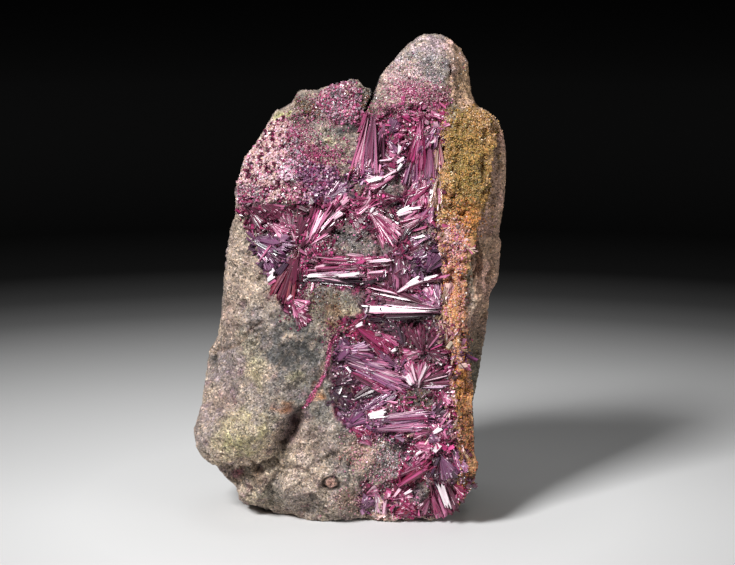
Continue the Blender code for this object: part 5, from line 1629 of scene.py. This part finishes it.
def build_field(rng):
    """Small fans and grains that cover the stone between the sprays."""
    store = Laths()
    for x, y in random_places(CRYSTAL_FIELD, FIELD_FANS, rng):
        if rng.random() < (0.9 if on_island(x, y) else 0.8 if under_fan(x, y) else 0.0):
            continue
        palette = field_mixture(x, y, rng)
        swirl = noise.noise(Vector((x / 26, y / 26, 3.3))) * 7 + rng.gauss(0, 0.5)
        length = rng.uniform(4, 11)
        end = (x + math.cos(swirl) * length, y + math.sin(swirl) * length)
        add_piece = add_facet if rng.random() < FIELD_FACETS else add_small_fan
        add_piece(store, (x, y), end, palette, rng)
    for x, y in random_places(CRYSTAL_FIELD, FIELD_GRAINS, rng):
        tone = pick_tone(field_mixture(x, y, rng), rng) * rng.uniform(0.8, 1.5)
        if on_island(x, y):
            if rng.random() < 0.6:
                continue
            tone = TONES[rng.choice(ISLAND_GRAINS)]
        elif rng.random() < 0.85 and under_fan(x, y):
            continue
        # Painted highlights: some grains are made pale or white, as sparkles.
        elif rng.random() < 0.12:
            tone = TONES[rng.choice(("pale", "white"))]
        add_grain(store, x, y, (1.0, 2.6), tone, rng)
    piece = store.build("crystals_between_sprays")
    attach(piece, "root")
    return piece


def scatter(store, scatterings, outline, rng, least, gain):
    """Grains strewn around the middle of each scattering, fewer towards its rim."""
    for x, y, half_width, half_height, count, sizes, palette in scatterings:
        places = [
            (x + rng.gauss(0, 0.5) * half_width, y + rng.gauss(0, 0.5) * half_height) for _ in range(count)
        ]
        for place, depth in zip(places, depth_inside(np.array(places), outline)):
            if depth > least:
                add_grain(store, *place, sizes, grain_tone(palette, gain, rng), rng)


def scatter_along(store, path, count, palette, rng, spread, gain):
    """Grains strewn along a path of picture points."""
    for _ in range(count):
        index = rng.randrange(len(path) - 1)
        share = rng.random()
        (x1, y1), (x2, y2) = path[index:index + 2]
        drift = noise.noise(Vector((index + share, count / 7, 5.2))) * spread
        x = between(x1, x2, share) + drift + rng.gauss(0, spread * 0.5)
        y = between(y1, y2, share) + rng.gauss(0, 0.6)
        add_grain(store, x, y, (0.8, 1.9), grain_tone(palette, gain, rng, (0.7, 1.25)), rng)


def build_crumbs(rng):
    """Crumbs on the ochre crust and down the seam."""
    store = Laths()
    scatter(store, CRUMBS, OCHRE_SEAM, rng, least=-3.0, gain=1.3)
    scatter_along(store, SEAM_RIM[:5], RIM_GRAINS, "crumb_peach", rng, spread=2.2, gain=1.0)
    scatter_along(store, SEAM_RIM[4:-1], RIM_GRAINS // 3, "crumb_orange", rng, spread=2.2, gain=0.8)
    piece = store.build("ochre_crumbs")
    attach(piece, "root")
    return piece


def build_dusting(rng):
    """Small crystals scattered over bare stone and along the vein."""
    store = Laths()
    scatter(store, DUSTINGS, OUTLINE, rng, least=1.0, gain=0.92)
    scatter_along(store, PINK_VEIN, VEIN_GRAINS, "rose", rng, spread=2.0, gain=1.0)
    piece = store.build("crystal_dusting")
    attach(piece, "root")
    return piece


def build_druse(node, rng):
    """A crust of very small crystals that stand up from the stone."""
    outline, count, sizes, mixtures = DRUSES[node]
    store = Laths()
    for x, y in random_places(outline, count, rng):
        palette = mixture_at(x + rng.gauss(0, 3), y + rng.gauss(0, 3), mixtures)
        if palette == "blush" and noise.noise(Vector((x / 6, y / 6, 9.1))) > 0.12:
            palette = "wine"
        add_grain(store, x, y, sizes, grain_tone(palette, 1.0, rng), rng)
    piece = store.build(node + "_crystals")
    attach(piece, "root")
    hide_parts(node)
    return piece


crystal_look = crystal_material("crystal", roughness=0.34, streak_contrast=0.3)
druse_look = crystal_material("druse", roughness=0.4, streak_contrast=0.15)
draw = random.Random(SEED)
for kind in sorted(FANS):
    build_spray("spray_" + kind, draw).data.materials.append(crystal_look)
build_field(draw).data.materials.append(crystal_look)
for node in DRUSES:
    build_druse(node, draw).data.materials.append(druse_look)
build_dusting(draw).data.materials.append(druse_look)
crumb_look = crystal_material("crumb", roughness=0.9, streak_contrast=0.2, coat=0.0)
build_crumbs(draw).data.materials.append(crumb_look)


def build_camera():
    data = bpy.data.cameras.new("camera")
    data.sensor_width = CAMERA_SENSOR
    data.lens = CAMERA_LENS
    data.clip_start = 0.01
    camera = link("camera", data)
    camera.location = CAMERA_PLACE * MM
    camera.rotation_euler = (math.radians(90) - CAMERA_RISE, 0, 0)
    bpy.context.scene.camera = camera


def build_light(name, place, size, power):
    """A white panel of light that looks at the middle of the specimen."""
    data = bpy.data.lights.new(name, "AREA")
    data.shape = "RECTANGLE"
    data.size, data.size_y = size
    data.energy = power
    light = link(name, data)
    light.location = place
    light.rotation_euler = (Vector(LIGHT_AIM) - Vector(place)).to_track_quat("-Z", "Y").to_euler()


def build_floor():
    """A round floor, a hair below the foot, with a painted pool of light: light at the specimen and dark
    further out.
    """
    bm = bmesh.new()
    bmesh.ops.create_circle(bm, cap_ends=True, segments=96, radius=3.0)
    mesh = bpy.data.meshes.new("floor")
    bm.to_mesh(mesh)
    bm.free()
    floor = link("floor", mesh)
    floor.location.z = -0.0001
    material, tree = new_material("floor")
    place = add(tree, "TexCoord")["Object"]
    reach = add(tree, "VectorMath", {0: place}, operation="LENGTH")["Value"]
    shade = ramp(tree, reach, *FLOOR_PAINTED_FALLOFF)
    surface(tree, {"Base Color": shade, "Roughness": 0.9, "Specular IOR Level": 0})
    mesh.materials.append(material)


build_camera()
build_floor()
for name in LIGHTS:
    build_light(name, *LIGHTS[name])
world = bpy.data.worlds.new("world")
world.use_nodes = True
background = world.node_tree.nodes["Background"].inputs
background["Color"].default_value = SURROUND_COLOUR
background["Strength"].default_value = SURROUND_LEVEL
bpy.context.scene.world = world
bpy.context.scene.view_settings.view_transform = "Standard"
